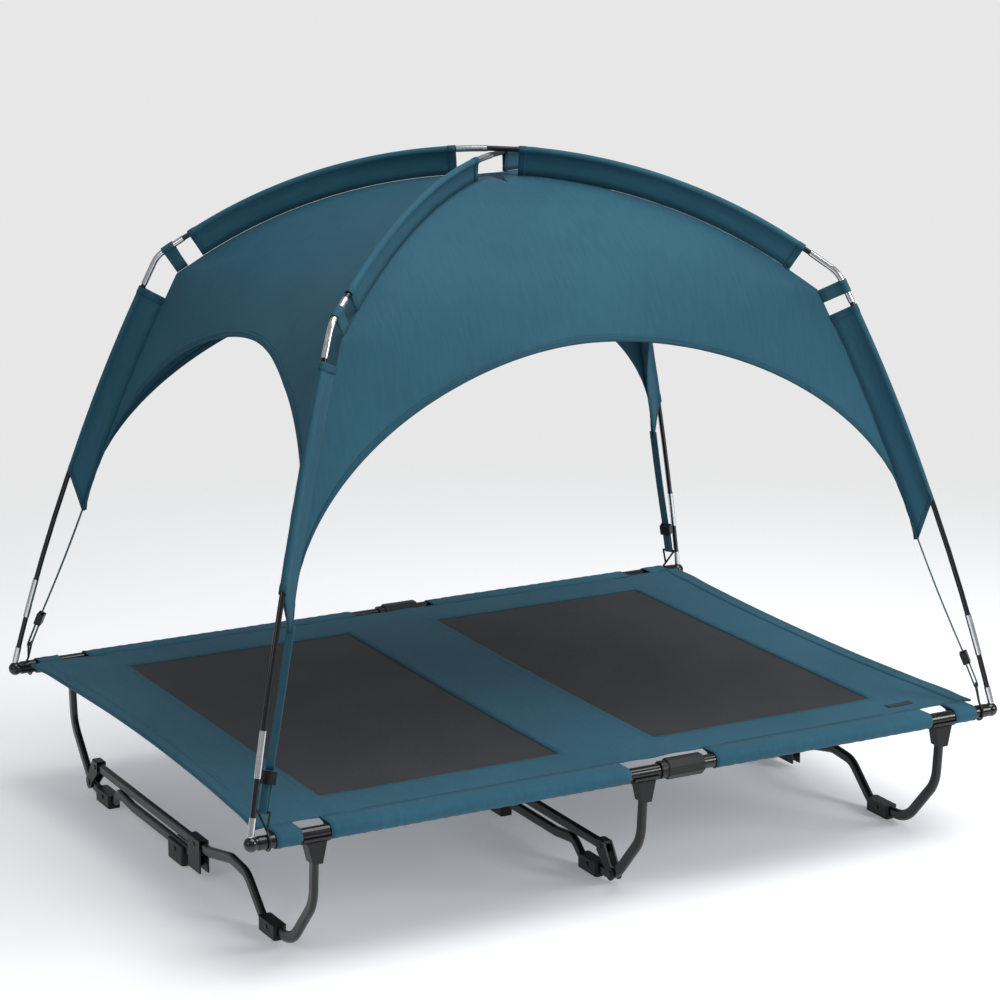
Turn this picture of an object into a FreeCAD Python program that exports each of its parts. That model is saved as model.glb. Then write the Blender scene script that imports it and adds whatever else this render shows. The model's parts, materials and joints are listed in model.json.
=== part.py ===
"""Raised folding bed for a dog, with a lift-off sunshade on two crossed poles.

Units are millimetres. +X runs along the long rails, +Y towards the rear, +Z up.
The origin is on the floor, under the middle of the bed.
"""
import FreeCAD, Part
import math
import os

Vec = FreeCAD.Vector

# ---------------------------------------------------------------- overall sizes
corner_span_x = 1220.0        # knob centre to knob centre, along a long rail
rail_span_y = 900.0           # rail axis to rail axis, across the bed
rail_height = 195.0           # rail axis above the floor
crown_height = 1030.0         # axis of the upper pole above the floor

# ---------------------------------------------------------------- rails
rail_dia = 20.0
rail_wall = 1.2
knob_dia = 21.0
knob_plug_length = 22.0
knob_seat = 1.5               # tube end, inside the ball's surface
knob_hole_room = 1.0          # knob hole deeper than the peg
joint_offset_x = 65.0         # middle joint of a rail, beside the middle leg
joint_gap = 2.0
socket_length = 60.0
socket_wall = 4.5
socket_sides = 8
socket_chamfer = 1.2
collar_length = 10.0
collar_wall = 3.0
spigot_length = 96.0
spigot_wall = 1.5
fit_gap = 0.05                # radial gap of pieces that slide into each other
body_gap = 0.3                # gap between pieces that move apart

# ---------------------------------------------------------------- bed fabric
fabric = 1.2
hem_inset = 13.0              # corner of the short hem, back from the knob centre
hem_bow = 22.0                # how far the short hem pulls in at mid length
sleeve_wall = 1.0
sleeve_gap = 0.1              # radial gap of the fabric sleeve round a rail
sleeve_inset = 33.0           # end of a rail sleeve, back from the knob centre
notch_depth = 20.0            # fabric cut back from the rail axis at a clip
window_inner_x = 80.0
window_outer_x = 460.0
window_half_y = 345.0
joint_window_from = -26.0     # long opening of the sleeve at the middle of a rail
joint_window_to = 116.0
tab_size = (44.0, 11.0, 0.8)
tab_inset = (150.0, 52.0)     # plain tab, from the front right knob

# ---------------------------------------------------------------- legs
leg_inset = 93.0              # outer legs, back from the knob centres
leg_tube_wide = 10.0
leg_tube_deep = 17.0
leg_tube_wall = 1.4
leg_end_drop = 20.0           # top end of a leg tube below the rail axis
leg_bow = 6.0                 # inward lean of the outer leg at its upper bend
leg_bow_drop = 103.0          # that bend below the rail axis
heel_inset = 78.0             # outer lower bend, from the rail axis
foot_from = 115.0             # near end of the foot, from the rail axis
foot_length = 55.0
foot_wide = 20.0
foot_tall = 21.0
tube_ride = 12.0              # tube axis above the floor inside a foot
upper_bar_z = 50.0
lower_bar_z = 27.0
hump_z = 67.0
hump_foot_z = 62.0            # bend where the bar levels out towards the hump
hump_run = (55.0, 108.0, 190.0)      # hump start, top and end, past the foot
lever_hump_z = 33.0
lever_hump_run = (26.0, 80.0)
lever_tip_y = 60.0            # lever tip past the bed's centre line
knee_radius = 60.0
heel_radius = 60.0
toe_radius = 26.0
hump_radius = 40.0
rest_block_y = 18.0           # inner rest block on the lever
rest_block_lift = 2.0
rest_block_tall = 30.0
bar_end_inset = 98.0          # end of the main bar, from the far rail axis
pivot_radius = 3.0
cheek = 2.5
cheek_eye = 10.5
pivot_bracket_back = 20.0     # bracket reach back along the main bar
latch_from = -70.0
latch_to = -28.0
latch_bottom_z = 10.0
rivet_radius = 2.2
rivet_head = 3.6
rivet_head_tall = 1.2
screw_radius = 1.8
block_screw_drop = 6.0        # screw of the rest block, below the lower bar's axis
foot_round = 4.0

# ---------------------------------------------------------------- clips
clip_length = 41.4
clip_wall = 3.0
clip_wrap = 70.0              # half angle of the cradle round the rail
neck_top = (30.0, 19.0)
neck_bottom = (15.0, 22.0)
neck_drop = 41.0              # lower end of the neck, below the rail axis

# ---------------------------------------------------------------- poles
pole_dia = 7.9
pole_bore = 5.9
cord_dia = 3.0
ferrule_dia = 9.5
elbow_inset = 246.0           # elbow corner, back from the knob along the diagonal
crown_rise = 173.0            # crown above the elbow corner
elbow_upper = 50.0            # elbow ferrule above and below its corner
elbow_lower = 48.0
seam_bend = 7.0               # turn of the canopy seam under an elbow
lower_turn = 11.2             # bend of the loaded lower rods, degrees
crossing_gap = 0.4
rod_insert = 20.0
rod_end_gap = 1.0
straight_ferrule_height = 117.0      # its middle above the rail axis
straight_ferrule_length = 64.0
crown_ferrule_from = 8.0
crown_ferrule_length = 46.0
peg_dia = 5.6
peg_depth = 9.0
peg_root = 2.0                # peg reaches this far up into the tip
tip_length = 26.0

# ---------------------------------------------------------------- canopy
fin_depth = 38.0              # pole axis to canopy seam
panel_skin = 1.0
fin_skin = 1.6
sleeve_bore_gap = 0.3
sleeve_skin = 0.8
upper_fin_from = 40.0         # from the crown
upper_fin_short = 12.0        # fin ends this far above the elbow ferrule
ferrule_room = 2.0            # fin starts this far past the crown ferrule
lower_fin_short = 6.0
lower_fin_drop = 295.0        # end of the lower fin, above the rail axis
corner_drop = 262.0           # canopy corner above the rail axis
arch_rise_long = 332.0        # apex of the front and rear arches over the corner
arch_rise_short = 324.0
arch_margin = 12.0            # panel left outside an arch at its foot
arch_foot_drop = 1.0          # foot of the arches below the canopy corner
loop_width = 20.0
loop_skin = 1.2
loop_setback = 22.0           # elbow loop, from the elbow corner

# ---------------------------------------------------------------- straps
web_width = 12.0
web = 1.2
hook_inset = 23.0             # hook plane, back from the knob centre
hook_wire = 3.4
hook_eye_rise = 40.0          # eye bar above the rail axis
hook_eye_wide = 20.0
hook_lean = 8.0               # eye bar inside the rail axis
hook_mouth = 40.0             # open end of the hook, above level, degrees
slider_rise = 82.0            # slider middle above the rail axis
slider_size = (18.0, 18.0)
slider_wall = 2.0
slider_bar = 1.6
strap_gap = 1.0               # upper strap ends this far above its slider

# ---------------------------------------------------------------- derived sizes
half_x = corner_span_x / 2
half_y = rail_span_y / 2
corner_reach = math.hypot(half_x, half_y)
diagonal_cos = half_x / corner_reach
diagonal_sin = half_y / corner_reach
rail_radius = rail_dia / 2
rail_top = rail_height + rail_radius
sheet_z = rail_top + fit_gap
elbow_radius = fin_depth + seam_bend + panel_skin
corners = {"front_left": (-1, -1), "front_right": (1, -1), "rear_left": (-1, 1), "rear_right": (1, 1)}
poles = {"over": ("rear_left", "front_right"), "under": ("front_left", "rear_right")}


def save(name, shape):
    """Write one node."""
    if not shape.isValid():
        print("not valid:", name)
    os.makedirs("parts", exist_ok=True)
    shape.exportStep("parts/" + name + ".step")


def group(shapes):
    """Several separate solids of one node."""
    return Part.makeCompound(shapes)


def box_between(low, high):
    """Box from its low corner to its high corner."""
    size = high - low
    return Part.makeBox(size.x, size.y, size.z, low)


def rod(start, end, radius):
    """Plain cylinder from one point to another."""
    along = end - start
    return Part.makeCylinder(radius, along.Length, start, along)


def ring(start, end, outer, inner):
    """Hollow cylinder from one point to another."""
    return rod(start, end, outer).cut(rod(start, end, inner))


def sweep(edges, radius):
    """Round bar along a chain of edges."""
    path = Part.Wire(edges)
    first = edges[0]
    start = first.valueAt(first.FirstParameter)
    heading = first.tangentAt(first.FirstParameter)
    section = Part.Wire(Part.makeCircle(radius, start, heading))
    return path.makePipeShell([section], True, False)


def pipe(edges, outer, inner):
    """Round tube along a chain of edges."""
    return sweep(edges, outer).cut(sweep(edges, inner))


def prism(points, height):
    """Extrude a closed outline of straight lines."""
    outline = Part.makePolygon(points + points[:1])
    return Part.Face(outline).extrude(height)


# ================================================================ rails
def rail_axis(side):
    """Start and end of a rail's axis; side is -1 in front and 1 at the rear."""
    return Vec(-half_x, side * half_y, rail_height), Vec(half_x, side * half_y, rail_height)


def at_rail(x, side):
    """Point of a rail's axis."""
    return Vec(x, side * half_y, rail_height)


def build_rails():
    """Two tubes to each long rail, with an inner spigot and an outer socket."""
    bore = rail_radius - rail_wall
    tube_end = half_x - knob_dia / 2 + knob_seat
    sides = {"front": -1, "rear": 1}
    halves = {"left": (-tube_end, joint_offset_x - joint_gap / 2),
              "right": (joint_offset_x + joint_gap / 2, tube_end)}
    for side_name, side in sides.items():
        for half_name, (x0, x1) in halves.items():
            tube = ring(at_rail(x0, side), at_rail(x1, side), rail_radius, bore)
            save("rail_" + side_name + "_" + half_name, tube)
    save("rail_spigots", group([spigot(side) for side in sides.values()]))
    save("rail_sockets", group([socket(side) for side in sides.values()]))


def spigot(side):
    """Inner tube that joins the two halves of a rail."""
    outer = rail_radius - rail_wall - fit_gap
    start = at_rail(joint_offset_x - spigot_length / 2, side)
    end = at_rail(joint_offset_x + spigot_length / 2, side)
    return ring(start, end, outer, outer - spigot_wall)


def socket(side):
    """Eight-sided outer sleeve with a round collar, over the joint."""
    x0 = joint_offset_x - socket_length / 2
    bore = rail_radius + fit_gap
    half_turn = math.pi / socket_sides
    flat_radius = (bore + socket_wall) / math.cos(half_turn)
    centre = at_rail(x0, side)
    turns = [half_turn * (2 * k + 1) for k in range(socket_sides)]
    outline = [centre + Vec(0, flat_radius * math.cos(a), flat_radius * math.sin(a)) for a in turns]
    body = prism(outline, Vec(socket_length, 0, 0))
    body = body.makeChamfer(socket_chamfer, [e for e in body.Edges if abs(e.Length - socket_length) > 1.0])
    collar = rod(at_rail(x0 - collar_length, side), at_rail(x0, side), bore + collar_wall)
    hole = rod(at_rail(x0 - collar_length, side), at_rail(x0 + socket_length, side), bore)
    return body.fuse(collar).cut(hole)


def knob(corner):
    """Ball end of a rail, plugged into the tube, with an upright hole for the pole's peg."""
    sx, sy = corner
    centre = Vec(sx * half_x, sy * half_y, rail_height)
    ball = Part.makeSphere(knob_dia / 2, centre)
    inward = Vec(-sx, 0, 0)
    tube_face = centre + inward * (knob_dia / 2 - knob_seat)
    plug = rod(centre, tube_face + inward * knob_plug_length, rail_radius - rail_wall - fit_gap)
    tube_room = rod(tube_face, tube_face + inward * knob_dia, knob_dia)
    ball = ball.cut(tube_room)
    hole_top = centre + Vec(0, 0, knob_dia)
    hole_bottom = centre + Vec(0, 0, knob_dia / 2 - peg_depth - knob_hole_room)
    return ball.fuse(plug).cut(rod(hole_bottom, hole_top, peg_dia / 2 + body_gap))


# ================================================================ bed fabric
def clip_places():
    """Middle of each clip along the rails, with the opening it needs in the fabric."""
    outer = half_x - leg_inset
    reach = clip_length / 2 + body_gap
    middle = (joint_window_from, joint_window_to)
    return [(-outer - reach, -outer + reach), middle, (outer - reach, outer + reach)]


def bed_cover():
    """One flat sheet between the rails, with windows for the mesh and cuts for the clips."""
    hem_x = half_x - hem_inset
    mid_x = hem_x - hem_bow
    z = sheet_z
    low = [Vec(-hem_x, -half_y, z), Vec(hem_x, -half_y, z)]
    high = [Vec(hem_x, half_y, z), Vec(-hem_x, half_y, z)]
    right = Part.Arc(low[1], Vec(mid_x, 0, z), high[0]).toShape()
    left = Part.Arc(high[1], Vec(-mid_x, 0, z), low[0]).toShape()
    near = Part.makeLine(low[0], low[1])
    far = Part.makeLine(high[0], high[1])
    sheet = Part.Face(Part.Wire([near, right, far, left])).extrude(Vec(0, 0, fabric))
    sheet = sheet.cut(group([window(side) for side in (-1, 1)]))
    for side in (-1, 1):
        for x0, x1 in clip_places():
            sheet = sheet.cut(edge_room(x0, x1, side))
        for end in (-1, 1):
            ends = sorted((end * (half_x - sleeve_inset), end * corner_span_x))
            sheet = sheet.cut(edge_room(ends[0], ends[1], side))
    return sheet


def edge_room(x0, x1, side):
    """Room for what sits on a rail, cut from the fabric beside it."""
    inner = side * (half_y - notch_depth)
    outer = side * (half_y + notch_depth)
    low = Vec(x0, min(inner, outer), rail_height - notch_depth)
    high = Vec(x1, max(inner, outer), rail_height + notch_depth)
    return box_between(low, high)


def window(side):
    """Space of one mesh panel."""
    xs = sorted((side * window_inner_x, side * window_outer_x))
    return box_between(Vec(xs[0], -window_half_y, sheet_z), Vec(xs[1], window_half_y, sheet_z + fabric))


def rail_sleeve(side):
    """Fabric sleeve round a rail, open where the clips and the rail joint sit."""
    end = half_x - sleeve_inset
    inner = rail_radius + sleeve_gap
    tube = ring(at_rail(-end, side), at_rail(end, side), inner + sleeve_wall, inner)
    for x0, x1 in clip_places():
        tube = tube.cut(edge_room(x0, x1, side))
    sheet_band = box_between(Vec(-end, side * half_y - notch_depth, sheet_z),
                             Vec(end, side * half_y + notch_depth, rail_top + notch_depth))
    return tube.cut(sheet_band)


def plain_tab():
    """Small folded tab stitched near the front right corner."""
    length, width, thick = tab_size
    x = half_x - tab_inset[0]
    y = -half_y + tab_inset[1]
    return Part.makeBox(length, width, thick, Vec(x, y, sheet_z + fabric))


# ================================================================ leg units
def bent_path(points, radii):
    """Straight runs joined by tangent arcs; one radius for each inner corner."""
    edges = []
    start = points[0]
    middles = []
    for k, radius in enumerate(radii):
        corner = points[k + 1]
        back = (points[k] - corner).normalize()
        ahead = (points[k + 2] - corner).normalize()
        half_angle = back.getAngle(ahead) / 2
        setback = radius / math.tan(half_angle)
        bisector = (back + ahead).normalize()
        middle = corner + bisector * (radius / math.sin(half_angle) - radius)
        arc_start = corner + back * setback
        arc_end = corner + ahead * setback
        edges.append(Part.makeLine(start, arc_start))
        edges.append(Part.Arc(arc_start, middle, arc_end).toShape())
        middles.append(middle)
        start = arc_end
    edges.append(Part.makeLine(start, points[-1]))
    return edges, middles


def flat_oval(start, heading, wide, deep):
    """Rounded section: wide along X, deep in the plane of the leg."""
    across = Vec(1, 0, 0).cross(heading).normalize()
    radius = wide / 2
    side = Vec(radius, 0, 0)
    run = across * (deep / 2 - radius)
    top = start + run
    bottom = start - run
    edges = [Part.makeLine(bottom + side, top + side),
             Part.Arc(top + side, top + across * radius, top - side).toShape(),
             Part.makeLine(top - side, bottom - side),
             Part.Arc(bottom - side, bottom - across * radius, bottom + side).toShape()]
    return Part.Wire(edges)


def oval_bar(edges, wide, deep):
    """Flat-oval bar along a path that lies in a YZ plane."""
    first = edges[0]
    start = first.valueAt(first.FirstParameter)
    heading = first.tangentAt(first.FirstParameter)
    maker = Part.BRepOffsetAPI.MakePipeShell(Part.Wire(edges))
    maker.setBiNormalMode(Vec(1, 0, 0))
    maker.add(flat_oval(start, heading, wide, deep), False, False)
    maker.build()
    maker.makeSolid()
    return maker.shape()


def oval_tube(edges):
    """Hollow leg tube along a path."""
    outer = oval_bar(edges, leg_tube_wide, leg_tube_deep)
    inner = oval_bar(edges, leg_tube_wide - 2 * leg_tube_wall, leg_tube_deep - 2 * leg_tube_wall)
    return outer.cut(inner)


def leg_side(side):
    """The stretch that both tubes share, from the clip down to the foot."""
    outer = side * half_y
    inward = -side
    foot_mid = foot_from + foot_length / 2
    return [Vec(0, outer, rail_height - leg_end_drop),
            Vec(0, outer + inward * leg_bow, rail_height - leg_bow_drop),
            Vec(0, outer + inward * heel_inset, tube_ride)], foot_mid


def main_bar_path():
    """Main tube: front clip, foot, hump and the long upper bar."""
    points, foot_mid = leg_side(-1)
    foot_end = -half_y + foot_mid + foot_length / 2
    start, top, end = hump_run
    points += [Vec(0, foot_end, tube_ride),
               Vec(0, foot_end + start, hump_foot_z),
               Vec(0, foot_end + top, hump_z),
               Vec(0, foot_end + end, upper_bar_z),
               Vec(0, half_y - bar_end_inset, upper_bar_z)]
    radii = [knee_radius, heel_radius, toe_radius, hump_radius, hump_radius, 2 * hump_radius]
    return bent_path(points, radii)


def lever_path():
    """Lever tube: rear clip, foot and the lower bar back to the latch."""
    points, foot_mid = leg_side(1)
    foot_end = half_y - foot_mid - foot_length / 2
    start, end = lever_hump_run
    points += [Vec(0, foot_end, tube_ride),
               Vec(0, foot_end - start, lever_hump_z),
               Vec(0, foot_end - end, lower_bar_z),
               Vec(0, -lever_tip_y, lower_bar_z)]
    return bent_path(points, [knee_radius, heel_radius, toe_radius, toe_radius, hump_radius])


def clip(side):
    """Moulded clip: a cradle under the rail and a flared neck that takes the tube."""
    inner = rail_radius + body_gap
    outer = inner + clip_wall
    start = Vec(-clip_length / 2, side * half_y, rail_height)
    end = Vec(clip_length / 2, side * half_y, rail_height)
    lip = rail_height - inner * math.cos(math.radians(clip_wrap))
    above = box_between(Vec(-clip_length, side * half_y - 2 * outer, lip),
                        Vec(clip_length, side * half_y + 2 * outer, rail_height + 2 * outer))
    cradle = rod(start, end, outer)
    neck = Part.makeLoft([neck_section(neck_top, side, rail_height - inner),
                          neck_section(neck_bottom, side, rail_height - neck_drop)], True, True)
    return cradle.fuse(neck).cut(rod(start, end, inner)).cut(above)


def neck_section(size, side, z):
    """Rectangular outline of the neck at one height."""
    wide, deep = size
    y = side * half_y
    points = [Vec(-wide / 2, y - deep / 2, z), Vec(wide / 2, y - deep / 2, z),
              Vec(wide / 2, y + deep / 2, z), Vec(-wide / 2, y + deep / 2, z)]
    return Part.makePolygon(points + points[:1])


def shoe(y_mid, bottom, tall):
    """Block that clamps a tube from below, with rounded upright edges."""
    block = Part.makeBox(foot_wide, foot_length, tall, Vec(-foot_wide / 2, y_mid - foot_length / 2, bottom))
    upright = [e for e in block.Edges if abs(e.tangentAt(0).z) > 0.9]
    return block.makeFillet(foot_round, upright)


def fork(y0, y1, z_bottom, z_top):
    """Channel that straddles the tubes: two cheeks and a web over the main bar."""
    half = leg_tube_wide / 2 + body_gap
    outer = box_between(Vec(-half - cheek, y0, z_bottom), Vec(half + cheek, y1, z_top))
    long_top = [e for e in outer.Edges if abs(e.tangentAt(0).y) > 0.9 and e.CenterOfMass.z > z_top - 1]
    outer = outer.makeFillet(cheek, long_top)
    room = box_between(Vec(-half, y0 - 1, z_bottom - 1), Vec(half, y1 + 1, z_top - cheek))
    return outer.cut(room)


def rivet(y, z, shank, half_width):
    """Headed pin across both cheeks."""
    bar = rod(Vec(-half_width, y, z), Vec(half_width, y, z), shank)
    for end in (-1, 1):
        face = Vec(end * half_width, y, z)
        bar = bar.fuse(rod(face, face + Vec(end * rivet_head_tall, 0, 0), shank + rivet_head - rivet_radius))
    return bar


def build_leg_unit():
    """All pieces of one leg unit, its hinge clip on the front rail, in the plane X = 0."""
    main_edges, _ = main_bar_path()
    lever_edges, lever_bends = lever_path()
    pivot = lever_bends[1]
    main_tube = oval_tube(main_edges)
    lever_tube = oval_tube(lever_edges)
    main_room = oval_bar(main_edges, leg_tube_wide, leg_tube_deep)
    lever_room = oval_bar(lever_edges, leg_tube_wide, leg_tube_deep)

    foot_mid = foot_from + foot_length / 2
    main_foot = shoe(-half_y + foot_mid, 0, foot_tall).cut(main_room)
    far_foot = shoe(half_y - foot_mid, 0, foot_tall).cut(lever_room)
    rest_block = shoe(rest_block_y, rest_block_lift, rest_block_tall).cut(lever_room)

    bar_top = upper_bar_z + leg_tube_deep / 2
    bar_end = half_y - bar_end_inset
    cheek_half = leg_tube_wide / 2 + body_gap + cheek
    channel = fork(bar_end - pivot_bracket_back, bar_end, upper_bar_z - leg_tube_deep / 2, bar_top + cheek)
    eyes = []
    for end in (-1, 1):
        x0 = end * (cheek_half - cheek / 2) - cheek / 2
        eyes.append(pivot_cheek(x0, bar_end, bar_top, pivot))
    pivot_bracket = channel.fuse(eyes[0]).fuse(eyes[1])
    latch = fork(latch_from, latch_to, latch_bottom_z, bar_top + cheek)

    rivet_y = bar_end - pivot_bracket_back / 2
    latch_mid = (latch_from + latch_to) / 2
    fixings = [rivet(rivet_y, upper_bar_z, rivet_radius, cheek_half),
               rivet(latch_mid, upper_bar_z, rivet_radius, cheek_half),
               rivet(pivot.y, pivot.z, pivot_radius, cheek_half)]
    foot_screws = [screw(-half_y + foot_mid, tube_ride)]
    across = Vec(foot_wide, 0, 0)
    rivet_places = [Vec(0, rivet_y, upper_bar_z), Vec(0, latch_mid, upper_bar_z)]
    holes = [rod(place - across, place + across, rivet_radius) for place in rivet_places]
    main_tube = main_tube.cut(group(holes))
    pivot_bracket = pivot_bracket.cut(group(fixings))
    latch = latch.cut(group(fixings))
    pivot_hole = rod(pivot - across, pivot + across, pivot_radius + fit_gap)
    lever_tube = lever_tube.cut(pivot_hole)
    lever_screws = [screw(half_y - foot_mid, tube_ride), screw(rest_block_y, lower_bar_z - block_screw_drop)]
    main_foot = main_foot.cut(group(foot_screws))
    main_tube = main_tube.cut(group(foot_screws))
    far_foot = far_foot.cut(lever_screws[0])
    rest_block = rest_block.cut(lever_screws[1])
    lever_tube = lever_tube.cut(group(lever_screws))

    main_clip = clip(-1).cut(main_room)
    lever_clip = clip(1).cut(lever_room)
    pieces = {"main_tube": main_tube,
              "main_clip": main_clip,
              "brackets": group([pivot_bracket, latch]),
              "fixings": group(fixings + foot_screws),
              "main_foot": main_foot,
              "lever_tube": lever_tube,
              "lever_clip": lever_clip,
              "lever_blocks": group([far_foot, rest_block] + lever_screws)}
    return pieces, pivot


def screw(y, z):
    """Pan-head screw across a foot block and its tube."""
    half = foot_wide / 2
    shank = rod(Vec(-half, y, z), Vec(half, y, z), screw_radius)
    head = rod(Vec(-half - rivet_head_tall, y, z), Vec(-half, y, z), rivet_head)
    nut = rod(Vec(half, y, z), Vec(half + rivet_head_tall, y, z), rivet_head)
    return shank.fuse(head).fuse(nut)


def pivot_cheek(x0, bar_end, bar_top, pivot):
    """Cheek plate from the end of the main bar down to the pivot pin."""
    low = upper_bar_z - leg_tube_deep / 2
    reach = bar_end - pivot_bracket_back
    points = [Vec(x0, reach, low), Vec(x0, reach, bar_top), Vec(x0, bar_end, bar_top),
              Vec(x0, pivot.y + cheek_eye, pivot.z), Vec(x0, pivot.y - cheek_eye, pivot.z)]
    plate = prism(points, Vec(cheek, 0, 0))
    eye = rod(Vec(x0, pivot.y, pivot.z), Vec(x0 + cheek, pivot.y, pivot.z), cheek_eye)
    return plate.fuse(eye)


def build_legs():
    """Three leg units; the middle one is turned round, with its hinge on the rear rail."""
    pieces, pivot = build_leg_unit()
    outer = half_x - leg_inset
    units = {"left": (-outer, 0), "middle": (0.0, 180), "right": (outer, 0)}
    for name, (x, turn) in units.items():
        for piece, shape in pieces.items():
            placed = shape.copy()
            placed.rotate(Vec(0, 0, 0), Vec(0, 0, 1), turn)
            placed.translate(Vec(x, 0, 0))
            save("leg_" + name + "_" + piece, placed)
    print("pivot pin of an outer unit: y %.2f z %.2f" % (pivot.y, pivot.z))


# ================================================================ pole tracks
class PoleTrack:
    """Axis of half a pole in its diagonal plane, from the crown outwards.

    A step is (length, turn): a straight run turns by nothing. Places along the
    track are lengths of the pole's own axis, and an inset moves them inwards.
    """

    def __init__(self, crown):
        self.crown = crown
        elbow_reach = corner_reach - elbow_inset
        elbow_z = crown_height - crown_rise
        upper = self.upper_slope(crown, elbow_reach, elbow_z)
        lower, lower_radius, lower_arc = self.lower_run(elbow_reach, elbow_z)
        crown_radius = (elbow_reach - elbow_upper * math.cos(upper)) / math.sin(upper)
        setback = elbow_radius * math.tan((lower - upper) / 2)
        self.steps = [(crown_radius * upper, upper),
                      (elbow_upper - setback, 0.0),
                      (elbow_radius * (lower - upper), lower - upper),
                      (elbow_lower - setback, 0.0),
                      (lower_radius * lower_arc, lower_arc)]
        self.ends = [sum(step[0] for step in self.steps[:k + 1]) for k in range(len(self.steps))]
        self.length = self.ends[-1]
        self.elbow_start = self.ends[0]
        self.elbow_middle = (self.ends[1] + self.ends[2]) / 2
        self.elbow_end = self.ends[3]

    def upper_slope(self, crown, elbow_reach, elbow_z):
        """Slope at which the upper rod enters the elbow, found by halving."""
        low, high = 0.0, math.pi / 2
        for _ in range(60):
            slope = (low + high) / 2
            run = elbow_reach - elbow_upper * math.cos(slope)
            rise = elbow_z + elbow_upper * math.sin(slope) + run * math.tan(slope / 2)
            if rise < crown:
                low = slope
            else:
                high = slope
        return slope

    def lower_run(self, elbow_reach, elbow_z):
        """Slope at the elbow, and radius and angle of the bowed lower rod."""
        turn = math.radians(lower_turn)
        slope = math.pi / 3
        foot_z = rail_height + knob_dia / 2
        for _ in range(40):
            drop = elbow_z - elbow_lower * math.sin(slope) - foot_z
            run = corner_reach - elbow_reach - elbow_lower * math.cos(slope)
            slope = math.atan2(drop, run) - turn / 2
        return slope, math.hypot(drop, run) / (2 * math.sin(turn / 2)), turn

    def locate(self, place, inset=0.0):
        """Reach from the centre, height and heading at a place along the axis."""
        reach, height, heading, passed = 0.0, self.crown - inset, 0.0, 0.0
        for length, turn in self.steps:
            share = min(1.0, max(0.0, (place - passed) / length))
            if turn:
                radius = length / turn - inset
                ahead = heading + share * turn
                reach += radius * (math.sin(ahead) - math.sin(heading))
                height += radius * (math.cos(ahead) - math.cos(heading))
                heading = ahead
            else:
                reach += share * length * math.cos(heading)
                height -= share * length * math.sin(heading)
            passed += length
            if place <= passed:
                break
        return reach, height, heading

    def place_at_height(self, height, inset=0.0):
        """Place along the axis where the track comes down to a height."""
        low, high = 0.0, self.length
        for _ in range(60):
            place = (low + high) / 2
            if self.locate(place, inset)[1] > height:
                low = place
            else:
                high = place
        return place

    def edges(self, corner, start, end, inset=0.0):
        """Lines and arcs between two places, in a corner's diagonal plane."""
        stops = [start] + [e for e in self.ends if start < e < end] + [end]
        chain = []
        for a, b in zip(stops, stops[1:]):
            first, middle, last = (self.point(corner, s, inset) for s in (a, (a + b) / 2, b))
            bend = (middle - first).getAngle(last - middle)
            if bend < 1e-7:
                chain.append(Part.makeLine(first, last))
            else:
                chain.append(Part.Arc(first, middle, last).toShape())
        return chain

    def point(self, corner, place, inset=0.0):
        """Point of the track over one corner's diagonal."""
        reach, height, _ = self.locate(place, inset)
        return on_diagonal(corner, reach, height)


def on_diagonal(corner, reach, height):
    """Point over the line from the centre to a corner."""
    sx, sy = corners[corner]
    return Vec(sx * reach * diagonal_cos, sy * reach * diagonal_sin, height)


def off_diagonal(corner):
    """Level direction square to a corner's diagonal plane."""
    sx, sy = corners[corner]
    return Vec(-sy * diagonal_sin, sx * diagonal_cos, 0)


def build_tracks():
    """The pole that passes over, and the one that passes just under it."""
    pitch = (ferrule_dia + pole_dia) / 2 + crossing_gap
    return {"over": PoleTrack(crown_height), "under": PoleTrack(crown_height - pitch)}


# ================================================================ poles
def build_poles(tracks):
    """Hollow rods, ferrules, bent elbows, tips and the elastic cord inside each pole."""
    ferrules, elbows, cords = [], [], []
    for pole, ends in poles.items():
        track = tracks[pole]
        rods = []
        crown_mid = crown_ferrule_from + crown_ferrule_length / 2
        centre_pipes = []
        for end in ends:
            has_ferrule = corners[end][0] < 0
            inner_end = crown_mid + rod_end_gap / 2 if has_ferrule else 0.0
            elbow_top = track.elbow_start + rod_insert
            upper = pipe(track.edges(end, inner_end, elbow_top), pole_dia / 2, pole_bore / 2)
            if has_ferrule:
                rods.append(upper)
                stub = track.edges(end, 0.0, crown_mid - rod_end_gap / 2)
                centre_pipes.append(pipe(stub, pole_dia / 2, pole_bore / 2))
                ferrule_end = crown_ferrule_from + crown_ferrule_length
                ferrules.append(sleeve_tube(track, end, crown_ferrule_from, ferrule_end))
            else:
                centre_pipes.append(upper)
            rods += lower_rods(track, end)
            mid = track.place_at_height(rail_height + straight_ferrule_height)
            half = straight_ferrule_length / 2
            ferrules.append(sleeve_tube(track, end, mid - half, mid + half))
            ferrules.append(tip(track, end))
            elbows.append(sleeve_tube(track, end, track.elbow_start, track.elbow_end))
            cords.append(sweep(track.edges(end, 0.0, track.length - tip_length), cord_dia / 2))
        rods.append(centre_pipes[0].fuse(centre_pipes[1]))
        save("pole_" + pole + "_rods", group(rods))
    save("pole_ferrules", group(ferrules))
    save("pole_elbows", group(elbows))
    save("pole_shock_cords", group([cords[0].fuse(cords[1]), cords[2].fuse(cords[3])]))


def sleeve_tube(track, end, start, stop):
    """Bright metal sleeve round the rods."""
    return pipe(track.edges(end, start, stop), ferrule_dia / 2, pole_dia / 2 + fit_gap)


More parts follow.
